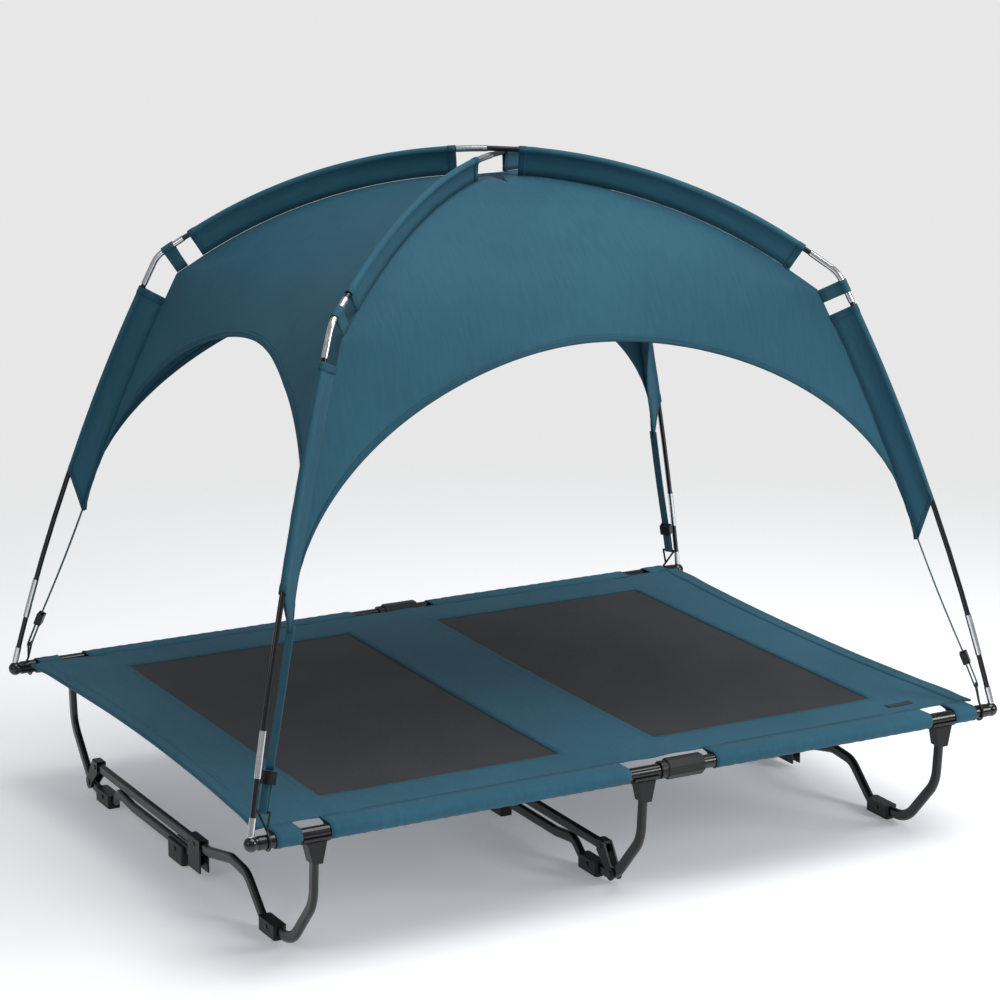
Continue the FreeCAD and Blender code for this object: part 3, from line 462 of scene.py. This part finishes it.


# %% [markdown]
# ## Turning points into pieces
# Most cloth here is a grid: rows of points that follow a rule. One helper skins such a grid, gives
# it a UV map in metres, makes it two-sided with Solidify and puts it on its body. The result is a
# plain mesh.


# %% Grid to cloth
def skin(name, patches, finish, thickness=0.0, keep=None):
    """Mesh from patches; a patch is rows of points, and rows of their flat places."""
    mesh = bpy.data.meshes.new(name)
    points, flat_uv, faces = [], [], []
    for rows, uvs in patches:
        first, wide = len(points), len(rows[0])
        points += [p for row in rows for p in row]
        flat_uv += [uv for row in uvs for uv in row]
        for i in range(len(rows) - 1):
            for j in range(wide - 1):
                if keep is None or keep(i, j):
                    a = first + i * wide + j
                    faces.append((a, a + 1, a + wide + 1, a + wide))
    mesh.from_pydata(points, [], faces)
    layer = mesh.uv_layers.new(name="UVMap")
    for loop in mesh.loops:
        layer.data[loop.index].uv = flat_uv[loop.vertex_index]
    mesh.materials.append(FINISHES[finish])
    tidy = bmesh.new()
    tidy.from_mesh(mesh)
    bmesh.ops.remove_doubles(tidy, verts=tidy.verts, dist=1e-6)
    loose = [v for v in tidy.verts if not v.link_faces]
    bmesh.ops.delete(tidy, geom=loose, context="VERTS")
    bmesh.ops.recalc_face_normals(tidy, faces=tidy.faces)
    tidy.to_mesh(mesh)
    tidy.free()
    mesh.shade_smooth()
    piece = bpy.data.objects.new(name, mesh)
    bpy.context.scene.collection.objects.link(piece)
    if thickness:
        wall = piece.modifiers.new("wall", "SOLIDIFY")
        wall.thickness = thickness
        wall.offset = 0.0
        apply_modifiers(piece)
    return piece


def apply_modifiers(piece):
    """Turn the piece and its modifiers into a plain mesh."""
    bpy.context.view_layer.update()
    graph = bpy.context.evaluated_depsgraph_get()
    mesh = bpy.data.meshes.new_from_object(piece.evaluated_get(graph))
    piece.modifiers.clear()
    piece.data = mesh
    return piece


def settle(piece, body, slot_name, *replaced):
    """Put a finished piece on its body and hide the parts it stands for."""
    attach(piece, body)
    if replaced:
        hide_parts(*replaced)
    return piece


def ease(value):
    """Smooth step of a share from 0 to 1."""
    value = min(1.0, max(0.0, value))
    return value * value * (3 - 2 * value)


# %% [markdown]
# ## The canopy
# Between two poles the cloth is stretched flat along one direction and curved along the other. At
# the seams it has to follow the sharp elbow, but in the middle of the panel nothing holds it there,
# so it rounds off. The rule is the seam's own line, averaged over a window that widens towards the
# middle, with a few millimetres of pull inwards. Each panel ends in an arch, so the grid runs from
# the arch edge out to the seams, like rays.

# %% Panel sizes
SMOOTH_SPAN = 0.150        # half window over which the middle of a panel rounds off
PANEL_PULL = 0.007
ARCH_POWER = 1.90
ARCH_MARGIN = 0.007
CLOTH_WALL = 0.0008
HEM_WIDTH = 0.012
PANELS = {"front": ("y", -1), "rear": ("y", 1), "left": ("x", -1), "right": ("x", 1)}
ARCH_TOP = {"y": CORNER_Z - 0.001 + 0.332, "x": CORNER_Z - 0.001 + 0.324}
CORNER_REACH = SEAM.at(SEAM_END, FIN_DEPTH)[0]


def panel_point(side, level, place, proud=0.0):
    """Point of a panel: level runs along its edge, place along the seam's length."""
    axis, sign = PANELS[side]
    along, across = (COS_D, SIN_D) if axis == "y" else (SIN_D, COS_D)
    limit = max(1e-4, SEAM.at(place, FIN_DEPTH)[0] * along)
    share = min(1.0, abs(level) / limit)
    window = min(SMOOTH_SPAN, SEAM_END - place) * (1 - share ** 2)
    reach = height = 0.0
    taps = 7
    for k in range(taps):
        r, z = SEAM.at(place + window * (2 * k / (taps - 1) - 1), FIN_DEPTH + CLOTH_WALL)
        reach += abs(r) / taps
        height += z / taps
    pull = PANEL_PULL * (1 - share ** 2) * math.sin(math.pi * min(1.0, place / SEAM_END)) ** 2
    pull += 0.0012 * noise.noise(Vector((level * 7, place * 7, 3.1 * sign))) * (1 - share ** 2)
    out = reach * across - pull + proud
    return Vector((level, sign * out, height)) if axis == "y" else Vector((sign * out, level, height))


def arch_place(side, turn):
    """Level and place of the arch edge; turn goes from 0 to pi."""
    axis = PANELS[side][0]
    half = CORNER_REACH * (COS_D if axis == "y" else SIN_D) - ARCH_MARGIN
    level = -half * math.copysign(abs(math.cos(turn)) ** (2 / ARCH_POWER), math.cos(turn))
    height = CORNER_Z + (ARCH_TOP[axis] - CORNER_Z) * max(0.0, math.sin(turn)) ** (2 / ARCH_POWER)
    low, high = 0.2, SEAM_END
    for _ in range(24):
        middle = (low + high) / 2
        low, high = (middle, high) if panel_point(side, level, middle).z > height else (low, middle)
    return level, middle


def ray(side, turn):
    """Both ends of one ray, in level and place."""
    axis = PANELS[side][0]
    place = SEAM_END * (1 - min(turn, math.pi - turn) / (math.pi / 2))
    level = SEAM.at(place, FIN_DEPTH)[0] * (COS_D if axis == "y" else SIN_D)
    return arch_place(side, turn), (math.copysign(level, turn - math.pi / 2), place)


# %% Cut and sew the four panels
RAYS, RINGS = 140, 34


def panel_rows(side):
    """Rays of one panel: its points, and its flat places for the weave."""
    rows, uvs = [], []
    for i in range(RAYS + 1):
        (l0, p0), (l1, p1) = ray(side, math.pi * i / RAYS)
        row = [(l0 + (l1 - l0) * j / RINGS, p0 + (p1 - p0) * j / RINGS) for j in range(RINGS + 1)]
        rows.append([panel_point(side, level, place) for level, place in row])
        uvs.append(row)
    return rows, uvs


def arch_hem(side):
    """Doubled hem along the arch of one panel."""
    rows, uvs = [], []
    for i in range(RAYS + 1):
        (l0, p0), (l1, p1) = ray(side, math.pi * i / RAYS)
        reach = min(0.9, HEM_WIDTH / max(math.hypot(l1 - l0, p1 - p0), 1e-4))
        strip = [(l0 + (l1 - l0) * reach * j / 4, p0 + (p1 - p0) * reach * j / 4) for j in range(5)]
        pucker = 0.0005 * math.sin(i * 1.9) * math.sin(i * 0.37)
        rows.append([panel_point(side, level, place, pucker * (1 - abs(j - 2) / 2))
                     for j, (level, place) in enumerate(strip)])
        uvs.append(strip)
    hem = skin("canopy_hem_" + side, [(rows, uvs)], "hem_cloth", 0.0024)
    return settle(hem, "canopy", "canopy_cloth")


patches = [panel_rows(side) for side in PANELS]
canopy = skin("canopy_cloth", patches, "canopy_cloth", CLOTH_WALL)
settle(canopy, "canopy", "canopy_cloth", *["canopy_" + side for side in PANELS])
arch_hems = [arch_hem(side) for side in PANELS]

# %% [markdown]
# ## Pole sleeves
# A sleeve is one strip of cloth folded round the pole and sewn to the seam. Seen from its end it is
# a drop: round at the pole, then two layers side by side. The same drop also makes the webbing
# loops at the elbows, and, laid on its side, the sleeves round the rails.


# %% Drop-shaped sleeves
def drop_section(radius, depth, gap, count=14):
    """Outline of a folded strip: (inwards, sideways) points from seam to seam."""
    tangent = math.radians(28)
    points = [(depth, gap / 2), (depth * 0.72, gap / 2), (depth * 0.45, gap / 2 + 0.0004)]
    for k in range(count + 1):
        angle = tangent + (2 * math.pi - 2 * tangent) * k / count
        points.append((radius * math.cos(angle), radius * math.sin(angle)))
    points += [(n, -b) for n, b in reversed(points[:3])]
    return points


def sleeve_rows(corner, start, end, radius, gap, belly, steps, lean_start, lean_end):
    """Rows of a folded strip along a pole; lean is how far its seam runs past its fold."""
    track = TRACKS[POLE_OF[corner]]
    sx, sy = CORNERS[corner]
    sideways = Vector((-sy * SIN_D, sx * COS_D, 0))
    rows, uvs, widest = [], [], 0.0
    for i in range(steps + 1):
        share = i / steps
        place = start + (end - start) * share
        axis = over_corner(corner, *track.at(place))
        seam_place = place + lean_start + (lean_end - lean_start) * share ** 2
        seam = over_corner(corner, *SEAM.at(seam_place, FIN_DEPTH))
        depth = (seam - axis).length
        inward = (seam - axis).normalized()
        wave = belly * math.sin(9 * place + 2 * sx) * math.sin(math.pi * share) ** 0.5
        row, uv, run = [], [], 0.0
        section = drop_section(radius, depth, gap)
        for k, (n, b) in enumerate(section):
            bend = wave * math.sin(math.pi * min(1.0, max(0.0, n / depth)))
            ripple = 0.0006 * noise.noise(Vector((place * 40, n * 90, b * 200)))
            row.append(axis + inward * n + sideways * (b + bend + ripple))
            if k:
                run += math.hypot(n - section[k - 1][0], b - section[k - 1][1])
            uv.append((run, place))
        rows.append(row)
        uvs.append(uv)
        widest = max(widest, run)
    return rows, uvs, widest


SLEEVE_R = POLE_R + 0.0009
ELBOW_TUBE_R = 0.00475
LOOP_SETBACK = 0.022
FIN_END_RISE = 0.322
CROWN_GAPS = (0.040, 0.056)
strips = []
for corner, (sx, sy) in CORNERS.items():
    track = TRACKS[POLE_OF[corner]]
    crown_gap = CROWN_GAPS[0] if sx > 0 else CROWN_GAPS[1]
    upper = (crown_gap, track.ends[0] - 0.012)
    lower = (track.ends[3] + 0.006, track.down_to(RAIL_Z + FIN_END_RISE))
    middle = (track.ends[1] + track.ends[2]) / 2 + sx * LOOP_SETBACK
    cloth = (SLEEVE_R, 0.0012, "canopy_cloth", 0.0007, 0.0022, 60)
    strips.append(("upper_sleeve_" + corner, corner, *upper, *cloth, upper[1]))
    strips.append(("lower_sleeve_" + corner, corner, *lower, *cloth, SEAM_END))
    strips.append(("elbow_loop_" + corner, corner, middle - 0.010, middle + 0.010, ELBOW_TUBE_R + 0.0010,
                   0.0014, "webbing", 0.0012, 0.0, 8, middle + 0.010))
STANDS_FOR = {"upper": "pole_sleeves_upper", "lower": "pole_sleeves_lower", "elbow": "elbow_loops"}
for name, corner, start, end, radius, gap, finish, wall, belly, steps, seam_end in strips:
    rows, uvs, width = sleeve_rows(corner, start, end, radius, gap, belly, steps, 0.0, seam_end - end)
    piece = skin(name, [(rows, uvs)], finish, wall)
    settle(piece, "canopy", finish, STANDS_FOR[name.split("_")[0]])
    size = (round(width, 3), round(max(end, seam_end) - start, 3))
print(len(strips), "folded strips on the poles")


# %% Doubled hems at the ends of the pole sleeves
SLEEVE_HEM = 0.011


def end_hem(name, corner, start, end, lean):
    """Second layer over the end of a sleeve, which stands a little proud."""
    section = sleeve_rows(corner, start, end, SLEEVE_R + 0.0007, 0.0026, 0.0, 4, lean, lean)
    piece = skin("hem_" + name, [section[:2]], "hem_cloth", 0.0006)
    settle(piece, "canopy", "canopy_cloth")
    round(end - start, 3)


for name, corner, start, end, *_, seam_end in strips:
    if "loop" not in name:
        end_hem(name + "_a", corner, start - 0.0005, start + SLEEVE_HEM, 0.0)
        end_hem(name + "_b", corner, end - SLEEVE_HEM, end + 0.0005, seam_end - end)
print("sleeve ends hemmed")

# %% [markdown]
# ## Deck
# The deck is one taut sheet between the rails. Its short edges are folded over and pull in, because
# only their ends are held. Two windows are cut out and filled with mesh, and the long edges
# wrap round the rails, with cuts where the clips and the rail joint sit.

# %% Deck sizes
deck_low, deck_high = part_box("bed_cover")
mesh_low, mesh_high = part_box("mesh_panels")
HEM_X = deck_high.x
HEM_BOW = 0.022
WINDOW_X = (0.080, mesh_high.x)
WINDOW_Y = mesh_high.y
SEAM_Y = HALF_Y - 0.027    # seam of the rail sleeves
clip_low, clip_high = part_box("leg_right_main_clip")
CUTS = [(-clip_high.x - 0.0003, -clip_low.x + 0.0003), (-0.026, 0.116), (clip_low.x - 0.0003, clip_high.x + 0.0003)]
SLEEVE_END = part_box("rail_sleeves")[1].x


def hem_line(y):
    """Half length of the deck at a distance from its middle line."""
    return HEM_X - HEM_BOW * (1 - (y / HALF_Y) ** 2)


def deck_height(x, y):
    """Height of the cloth: almost flat, with faint pulls towards the corners and clips."""
    corner = math.exp(-((HALF_X - abs(x)) ** 2 + (HALF_Y - abs(y)) ** 2) / 0.010)
    pulls = 0.0016 * corner * math.sin(60 * (abs(x) - abs(y)))
    for x0, x1 in CUTS:
        near = math.exp(-((x - (x0 + x1) / 2) ** 2 + (HALF_Y - abs(y)) ** 2) / 0.006)
        pulls += 0.0010 * near * math.sin(85 * (x - x0))
    sag = -0.0030 * (1 - (y / HALF_Y) ** 2) * (1 - (x / HALF_X) ** 2)
    drift = 0.0009 * noise.noise(Vector((x * 6, y * 6, 0.7)))
    return DECK_Z - 0.0006 + sag + pulls + drift


# %% Deck cloth and mesh
def level_patch(rows):
    """Patch whose flat places are simply its X and Y."""
    return rows, [[(p.x, p.y) for p in row] for row in rows]


def spread(stops, step):
    """Numbers through the stops, no further apart than step."""
    out = [stops[0]]
    for a, b in zip(stops, stops[1:]):
        count = max(1, math.ceil((b - a) / step))
        out += [a + (b - a) * (k + 1) / count for k in range(count)]
    return out


inner = [-WINDOW_X[1], -WINDOW_X[0], WINDOW_X[0], WINDOW_X[1]]
xs = spread([-1.0] + inner + [1.0], 0.011)
ys = spread([-SEAM_Y, -WINDOW_Y, WINDOW_Y, SEAM_Y], 0.011)


def deck_point(x, y):
    """Point of the deck; beyond the windows, x is shared out up to the hem."""
    if abs(x) > WINDOW_X[1]:
        share = (abs(x) - WINDOW_X[1]) / (1.0 - WINDOW_X[1])
        x = math.copysign(WINDOW_X[1] + share * (hem_line(y) - WINDOW_X[1]), x)
    return Vector((x, y, deck_height(x, y)))


xs = [x for x in xs if abs(x) <= WINDOW_X[1]] + [s * (WINDOW_X[1] + (1 - WINDOW_X[1]) * k / 12) for s in (-1, 1) for k in range(1, 13)]
xs.sort()
grid = [[deck_point(x, y) for y in ys] for x in xs]
grid_uv = [[(p.x, p.y) for p in row] for row in grid]


def outside_windows(i, j):
    """Whether a cell of the deck's grid is cloth."""
    x, y = (xs[i] + xs[i + 1]) / 2, (ys[j] + ys[j + 1]) / 2
    return not (WINDOW_X[0] < abs(x) < WINDOW_X[1] and abs(y) < WINDOW_Y)


deck = skin("deck_cloth", [(grid, grid_uv)], "oxford_cloth", 0.0012, outside_windows)
settle(deck, "bed", "oxford_cloth", "bed_cover")
LAP = 0.010
mesh_pieces = []
for side, name in ((-1, "left"), (1, "right")):
    panel_x = spread(sorted((side * (WINDOW_X[0] - LAP), side * (WINDOW_X[1] + LAP))), 0.012)
    panel_y = spread([-WINDOW_Y - LAP, WINDOW_Y + LAP], 0.012)
    rows = [[Vector((x, y, deck_height(x, y) - 0.0007)) for y in panel_y] for x in panel_x]
    piece = skin("deck_mesh_" + name, [level_patch(rows)], "mesh", 0.0007)
    settle(piece, "bed", "mesh", "mesh_panels")
    size = (round(panel_x[-1] - panel_x[0], 3), round(panel_y[-1] - panel_y[0], 3))
    mesh_pieces.append(piece)


# %% Folded short hems
def short_hem(side):
    """Double fold along one short edge."""
    rows, uvs = [], []
    for y in spread([-SEAM_Y, SEAM_Y], 0.008):
        edge = hem_line(y)
        row = []
        for k in range(6):
            x = side * (edge + 0.0008 - 0.024 * k / 5)
            pucker = 0.0004 * math.sin(y * 410) * math.sin(math.pi * k / 5)
            row.append(Vector((x, y, deck_height(x, y) + pucker)))
        rows.append(row)
        uvs.append([(p.x, p.y) for p in row])
    name = "deck_hem_" + ("right" if side > 0 else "left")
    return settle(skin(name, [(rows, uvs)], "oxford_cloth", 0.0032), "bed", "oxford_cloth")


hems = [short_hem(-1), short_hem(1)]


# %% Sleeves round the rails
def rail_section(side, squeeze):
    """Drop laid on its side: over the rail, round it, and back to the seam below."""
    top = DECK_Z - 0.0004
    radius = RAIL_R + 0.0009 + squeeze
    points = [(SEAM_Y - 0.004, top), (SEAM_Y + 0.012, top + 0.0002)]
    for k in range(19):
        angle = math.radians(90 - 235 * k / 18)
        points.append((HALF_Y + radius * math.cos(angle), RAIL_Z + radius * math.sin(angle)))
    points += [(SEAM_Y + 0.010, DECK_Z - 0.0045), (SEAM_Y, DECK_Z - 0.0026), (SEAM_Y - 0.004, DECK_Z - 0.0022)]
    return [Vector((0, side * y, z)) for y, z in points]


stretches = [(-SLEEVE_END, CUTS[0][0]), (CUTS[0][1], CUTS[1][0]), (CUTS[1][1], CUTS[2][0]), (CUTS[2][1], SLEEVE_END)]
for side, name in ((-1, "front"), (1, "rear")):
    for part, (x0, x1) in zip("abcd", stretches):
        rows, uvs = [], []
        for x in spread([x0 + 0.0005, x1 - 0.0005], 0.009):
            section = rail_section(side, 0.0005 * (1 + noise.noise(Vector((x * 14, side, 0)))))
            ripple = 0.0004 * math.sin(x * 300)
            rows.append([p + Vector((x, 0, ripple if 2 < k < 20 else 0)) for k, p in enumerate(section)])
            uvs.append([(x, 0.004 * k) for k in range(len(section))])
        piece = skin("rail_sleeve_" + name + "_" + part, [(rows, uvs)], "oxford_cloth", 0.0009)
        settle(piece, "bed", "oxford_cloth", "rail_sleeves")
        around = sum((a - b).length for a, b in zip(rail_section(side, 0), rail_section(side, 0)[1:]))
        round(x1 - x0, 3)
        "rail_" + name + "_left"
print("rail sleeves wrap", round(around, 3), "m of cloth round each rail")

# %% [markdown]
# ## Webbing straps
# Each corner is pulled down by a flat strap. It runs from the canopy's corner into a slider; below
# the slider it is doubled round the eye of a wire hook. Webbing is made directly as a thin ribbon
# with a woven finish, because its edges have to stay crisp.


# %% Straps
EYE_INSET, EYE_LEAN, EYE_RISE = 0.023, 0.008, 0.040
HOOK_WIRE_R = 0.0017
WEB_WIDTH = 0.012
WEB_WALL = 0.0012


def strap_ends(corner):
    """Canopy corner, hook eye, direction and width direction of a strap."""
    sx, sy = CORNERS[corner]
    eye = Vector((sx * (HALF_X - EYE_INSET), sy * (HALF_Y - EYE_LEAN), RAIL_Z + EYE_RISE))
    top = over_corner(corner, *SEAM.at(SEAM_END, FIN_DEPTH))
    along = (top - eye).normalized()
    wide = Vector((-sy * SIN_D, sx * COS_D, 0))
    wide = (wide - along * wide.dot(along)).normalized()
    return top, eye, along, wide


def tape(name, spine, wide, thickness, body, width, *replaced):
    """Ribbon of webbing along a list of points, laid with its width along one direction."""
    rows, uvs, run = [], [], 0.0
    for k, point in enumerate(spine):
        run += (point - spine[k - 1]).length if k else 0.0
        rows.append([point + wide * (width * (j / 6 - 0.5)) for j in range(7)])
        uvs.append([(width * (j / 6 - 0.5), run) for j in range(7)])
    piece = skin(name, [(rows, uvs)], "webbing", thickness)
    settle(piece, body, "webbing", *replaced)
    "folded" if "loop" in name else "stretched"
    return run


for corner in CORNERS:
    top, eye, along, wide = strap_ends(corner)
    depth = along.cross(wide).normalized()
    slider_low, slider_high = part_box("strap_slider_" + corner)
    slider_mid = (slider_low + slider_high) / 2
    slider_top = eye + along * ((slider_mid - eye).dot(along) + 0.0100)
    spine = [slider_top + (top + along * 0.012 - slider_top) * (k / 24) for k in range(25)]
    bend = [depth * (0.0016 * math.sin(math.pi * k / 24)) for k in range(25)]
    slack = [point + lift for point, lift in zip(spine, bend)]
    run = tape("corner_strap_" + corner, slack, wide, WEB_WALL, "canopy", WEB_WIDTH, "corner_straps")
    inner = HOOK_WIRE_R + 0.0009
    span = (slider_top - along * 0.0045 - eye).length
    loop = [eye + along * (span * (1 - k / 6)) + depth * inner for k in range(7)]
    turns = [math.pi * k / 8 for k in range(1, 8)]
    loop += [eye + depth * (inner * math.cos(a)) - along * (inner * math.sin(a)) for a in turns]
    loop += [eye + along * (span * k / 6) - depth * inner for k in range(7)]
    tape("strap_webbing_loop_" + corner, loop, wide, WEB_WALL, "strap_" + corner, WEB_WIDTH,
         "strap_loop_" + corner)
    print("strap", corner, "%.3f m above the slider" % run)

# %% [markdown]
# ## Plain tab
# A small woven tab is stitched near the front right corner. It is kept plain.

# %% Tab
tab_low, tab_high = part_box("bed_tab")
rows = [[Vector((x, y, deck_height(x, y) + 0.0014)) for y in spread([tab_low.y, tab_high.y], 0.002)] for x in spread([tab_low.x, tab_high.x], 0.004)]
tab = skin("plain_tab", [level_patch(rows)], "tab", 0.0008)
settle(tab, "bed", "tab", "bed_tab")

# %% [markdown]
# ## Stitching
# Thousands of stitches are what make cloth look sewn, and nobody places them by hand. A Geometry
# Nodes tree takes the seam lines, spaces points along them at the stitch pitch, and puts a small
# rounded thread at each, turned along the seam. Its sizes are named inputs on the modifier.


# %% Stitch tree
def stitch_tree():
    """Group that lays stitches along every edge of a mesh of seam lines."""
    tree = bpy.data.node_groups.new("stitches", "GeometryNodeTree")
    tree.interface.new_socket("Seams", in_out="INPUT", socket_type="NodeSocketGeometry")
    sizes = {}
    for name, value in (("Pitch", 0.0042), ("Stitch Length", 0.0031), ("Thread Radius", 0.00035)):
        socket = tree.interface.new_socket(name, in_out="INPUT", socket_type="NodeSocketFloat")
        socket.default_value = value
        sizes[name] = socket.identifier
    thread = tree.interface.new_socket("Thread", in_out="INPUT", socket_type="NodeSocketMaterial")
    sizes["Thread"] = thread.identifier
    tree.interface.new_socket("Stitches", in_out="OUTPUT", socket_type="NodeSocketGeometry")

    def add(kind, **settings):
        """Add one node with its settings."""
        made = tree.nodes.new(kind)
        for key, value in settings.items():
            setattr(made, key, value)
        return made

    def join(source, output, target, field):
        """Link two sockets."""
        tree.links.new(source.outputs[output], target.inputs[field])

    start = add("NodeGroupInput")
    curve = add("GeometryNodeMeshToCurve")
    spaced = add("GeometryNodeResampleCurve", mode="LENGTH")
    dot = add("GeometryNodeMeshIcoSphere")
    scale = add("ShaderNodeCombineXYZ")
    half = add("ShaderNodeMath", operation="MULTIPLY")
    half.inputs[1].default_value = 0.5
    sized = add("GeometryNodeTransform")
    lay = add("GeometryNodeInstanceOnPoints")
    tangent = add("GeometryNodeInputTangent")
    aim = add("FunctionNodeAlignRotationToVector", axis="X")
    real = add("GeometryNodeRealizeInstances")
    paint = add("GeometryNodeSetMaterial")
    smooth = add("GeometryNodeSetShadeSmooth")
    end = add("NodeGroupOutput")
    dot.inputs["Radius"].default_value = 1.0
    dot.inputs["Subdivisions"].default_value = 1
    join(start, "Seams", curve, "Mesh")
    join(curve, "Curve", spaced, "Curve")
    join(start, "Pitch", spaced, "Length")
    join(start, "Stitch Length", half, 0)
    join(half, 0, scale, "X")
    join(start, "Thread Radius", scale, "Y")
    join(start, "Thread Radius", scale, "Z")
    join(dot, "Mesh", sized, "Geometry")
    join(scale, "Vector", sized, "Scale")
    join(spaced, "Curve", lay, "Points")
    join(sized, "Geometry", lay, "Instance")
    join(tangent, "Tangent", aim, "Vector")
    join(aim, "Rotation", lay, "Rotation")
    join(lay, "Instances", real, "Geometry")
    join(real, "Geometry", smooth, "Geometry")
    join(smooth, "Geometry", paint, "Geometry")
    join(start, "Thread", paint, "Material")
    join(paint, "Geometry", end, "Stitches")
    return tree, sizes


STITCHES, STITCH_INPUTS = stitch_tree()


def sew(name, lines, body, slot_name, pitch=0.0042):
    """Stitches along a list of point lines, as one plain mesh on one body."""
    mesh = bpy.data.meshes.new(name)
    points, edges = [], []
    for line in lines:
        first = len(points)
        points += line
        edges += [(first + k, first + k + 1) for k in range(len(line) - 1)]
    mesh.from_pydata(points, edges, [])
    piece = bpy.data.objects.new(name, mesh)
    bpy.context.scene.collection.objects.link(piece)
    lay = piece.modifiers.new("lay", "NODES")
    lay.node_group = STITCHES
    lay[STITCH_INPUTS["Pitch"]] = pitch
    lay[STITCH_INPUTS["Thread"]] = FINISHES["thread"]
    apply_modifiers(piece)
    settle(piece, body, slot_name)
    print(name, len(piece.data.polygons) // 20, "stitches")
    return piece


# %% Stitches along the arches
def arch_seam(side, share, lift):
    """Line along the hem of an arch at a share of the hem's width."""
    line = []
    for i in range(2, RAYS * 2 - 1):
        turn = math.pi * i / (RAYS * 2)
        (l0, p0), (l1, p1) = ray(side, turn)
        reach = min(0.9, HEM_WIDTH / max(math.hypot(l1 - l0, p1 - p0), 1e-4)) * share
        here = panel_point(side, l0 + (l1 - l0) * reach, p0 + (p1 - p0) * reach)
        axis, sign = PANELS[side]
        outward = Vector((0, sign, 0.35)) if axis == "y" else Vector((sign, 0, 0.35))
        line.append(here + outward.normalized() * lift)
    return line


for side in PANELS:
    sew("arch_stitches_" + side, [arch_seam(side, s, 0.0015) for s in (0.22, 0.80)], "canopy", "canopy_cloth")

# %% Stitches on the deck
deck_lines = []
for side in (-1, 1):
    for inset in (0.004, 0.020):
        deck_lines.append([Vector((side * (hem_line(y) - inset), y, deck_height(side * hem_line(y), y) + 0.0018))
                           for y in spread([-SEAM_Y, SEAM_Y], 0.02)])
    for margin in (0.003, 0.009):
        x0, x1, y1 = WINDOW_X[0] - margin, WINDOW_X[1] + margin, WINDOW_Y + margin
        path = [(x0, -y1), (x1, -y1), (x1, y1), (x0, y1), (x0, -y1)]
        line = []
        for (ax, ay), (bx, by) in zip(path, path[1:]):
            steps = 40
            line += [Vector((side * (ax + (bx - ax) * k / steps), ay + (by - ay) * k / steps, 0)) for k in range(steps)]
        for p in line:
            p.z = deck_height(p.x, p.y) + 0.0008
        deck_lines.append(line + line[:1])
    for inset in (0.002, 0.008):
        for x0, x1 in stretches:
            deck_lines.append([Vector((x, side * (SEAM_Y - 0.0035 + inset), DECK_Z + 0.0003)) for x in spread([x0 + 0.002, x1 - 0.002], 0.02)])
sew("deck_stitches", deck_lines, "bed", "oxford_cloth", 0.0045)

# %% Stitches on the sleeves of the poles
sleeve_lines = []
for name, corner, start, end, *_, seam_end in strips:
    if "loop" in name:
        continue
    track = TRACKS[POLE_OF[corner]]
    sx, sy = CORNERS[corner]
    sideways = Vector((-sy * SIN_D, sx * COS_D, 0))
    for face in (-1, 1):
        for place, lean in ((start + 0.0085, 0.0), (end - 0.0085, seam_end - end)):
            axis = over_corner(corner, *track.at(place))
            seam = over_corner(corner, *SEAM.at(place + lean, FIN_DEPTH))
            sleeve_lines.append([axis + (seam - axis) * (0.2 + 0.75 * k / 8) + sideways * face * (0.0021) for k in range(9)])
sew("sleeve_stitches", sleeve_lines, "canopy", "canopy_cloth")

# %% [markdown]
# ## Floor
# The floor is a wide pale sheet that fades into the background. It isn't part of the object.

# %% Floor
floor_mesh = bpy.data.meshes.new("floor")
FLOOR_HALF = 14.0
floor_mesh.from_pydata([(-FLOOR_HALF, -FLOOR_HALF, -0.0004), (FLOOR_HALF, -FLOOR_HALF, -0.0004),
                        (FLOOR_HALF, FLOOR_HALF, -0.0004), (-FLOOR_HALF, FLOOR_HALF, -0.0004)], [], [(0, 1, 2, 3)])
floor = bpy.data.objects.new("floor", floor_mesh)
bpy.context.scene.collection.objects.link(floor)
floor_finish = Finish("floor_paint", Base_Color=(0.93, 0.93, 0.94, 1), Roughness=0.55,
                      Emission_Color=(0.93, 0.95, 1.0, 1), Emission_Strength=0.22)
floor_x, floor_y, _ = floor_finish.place()
floor_radius = (floor_x * floor_x + floor_y * floor_y) ** 0.5
floor_finish.feed(Alpha=1.0 - floor_radius.smooth(1.1, 2.6))
floor_mesh.materials.append(floor_finish.material)
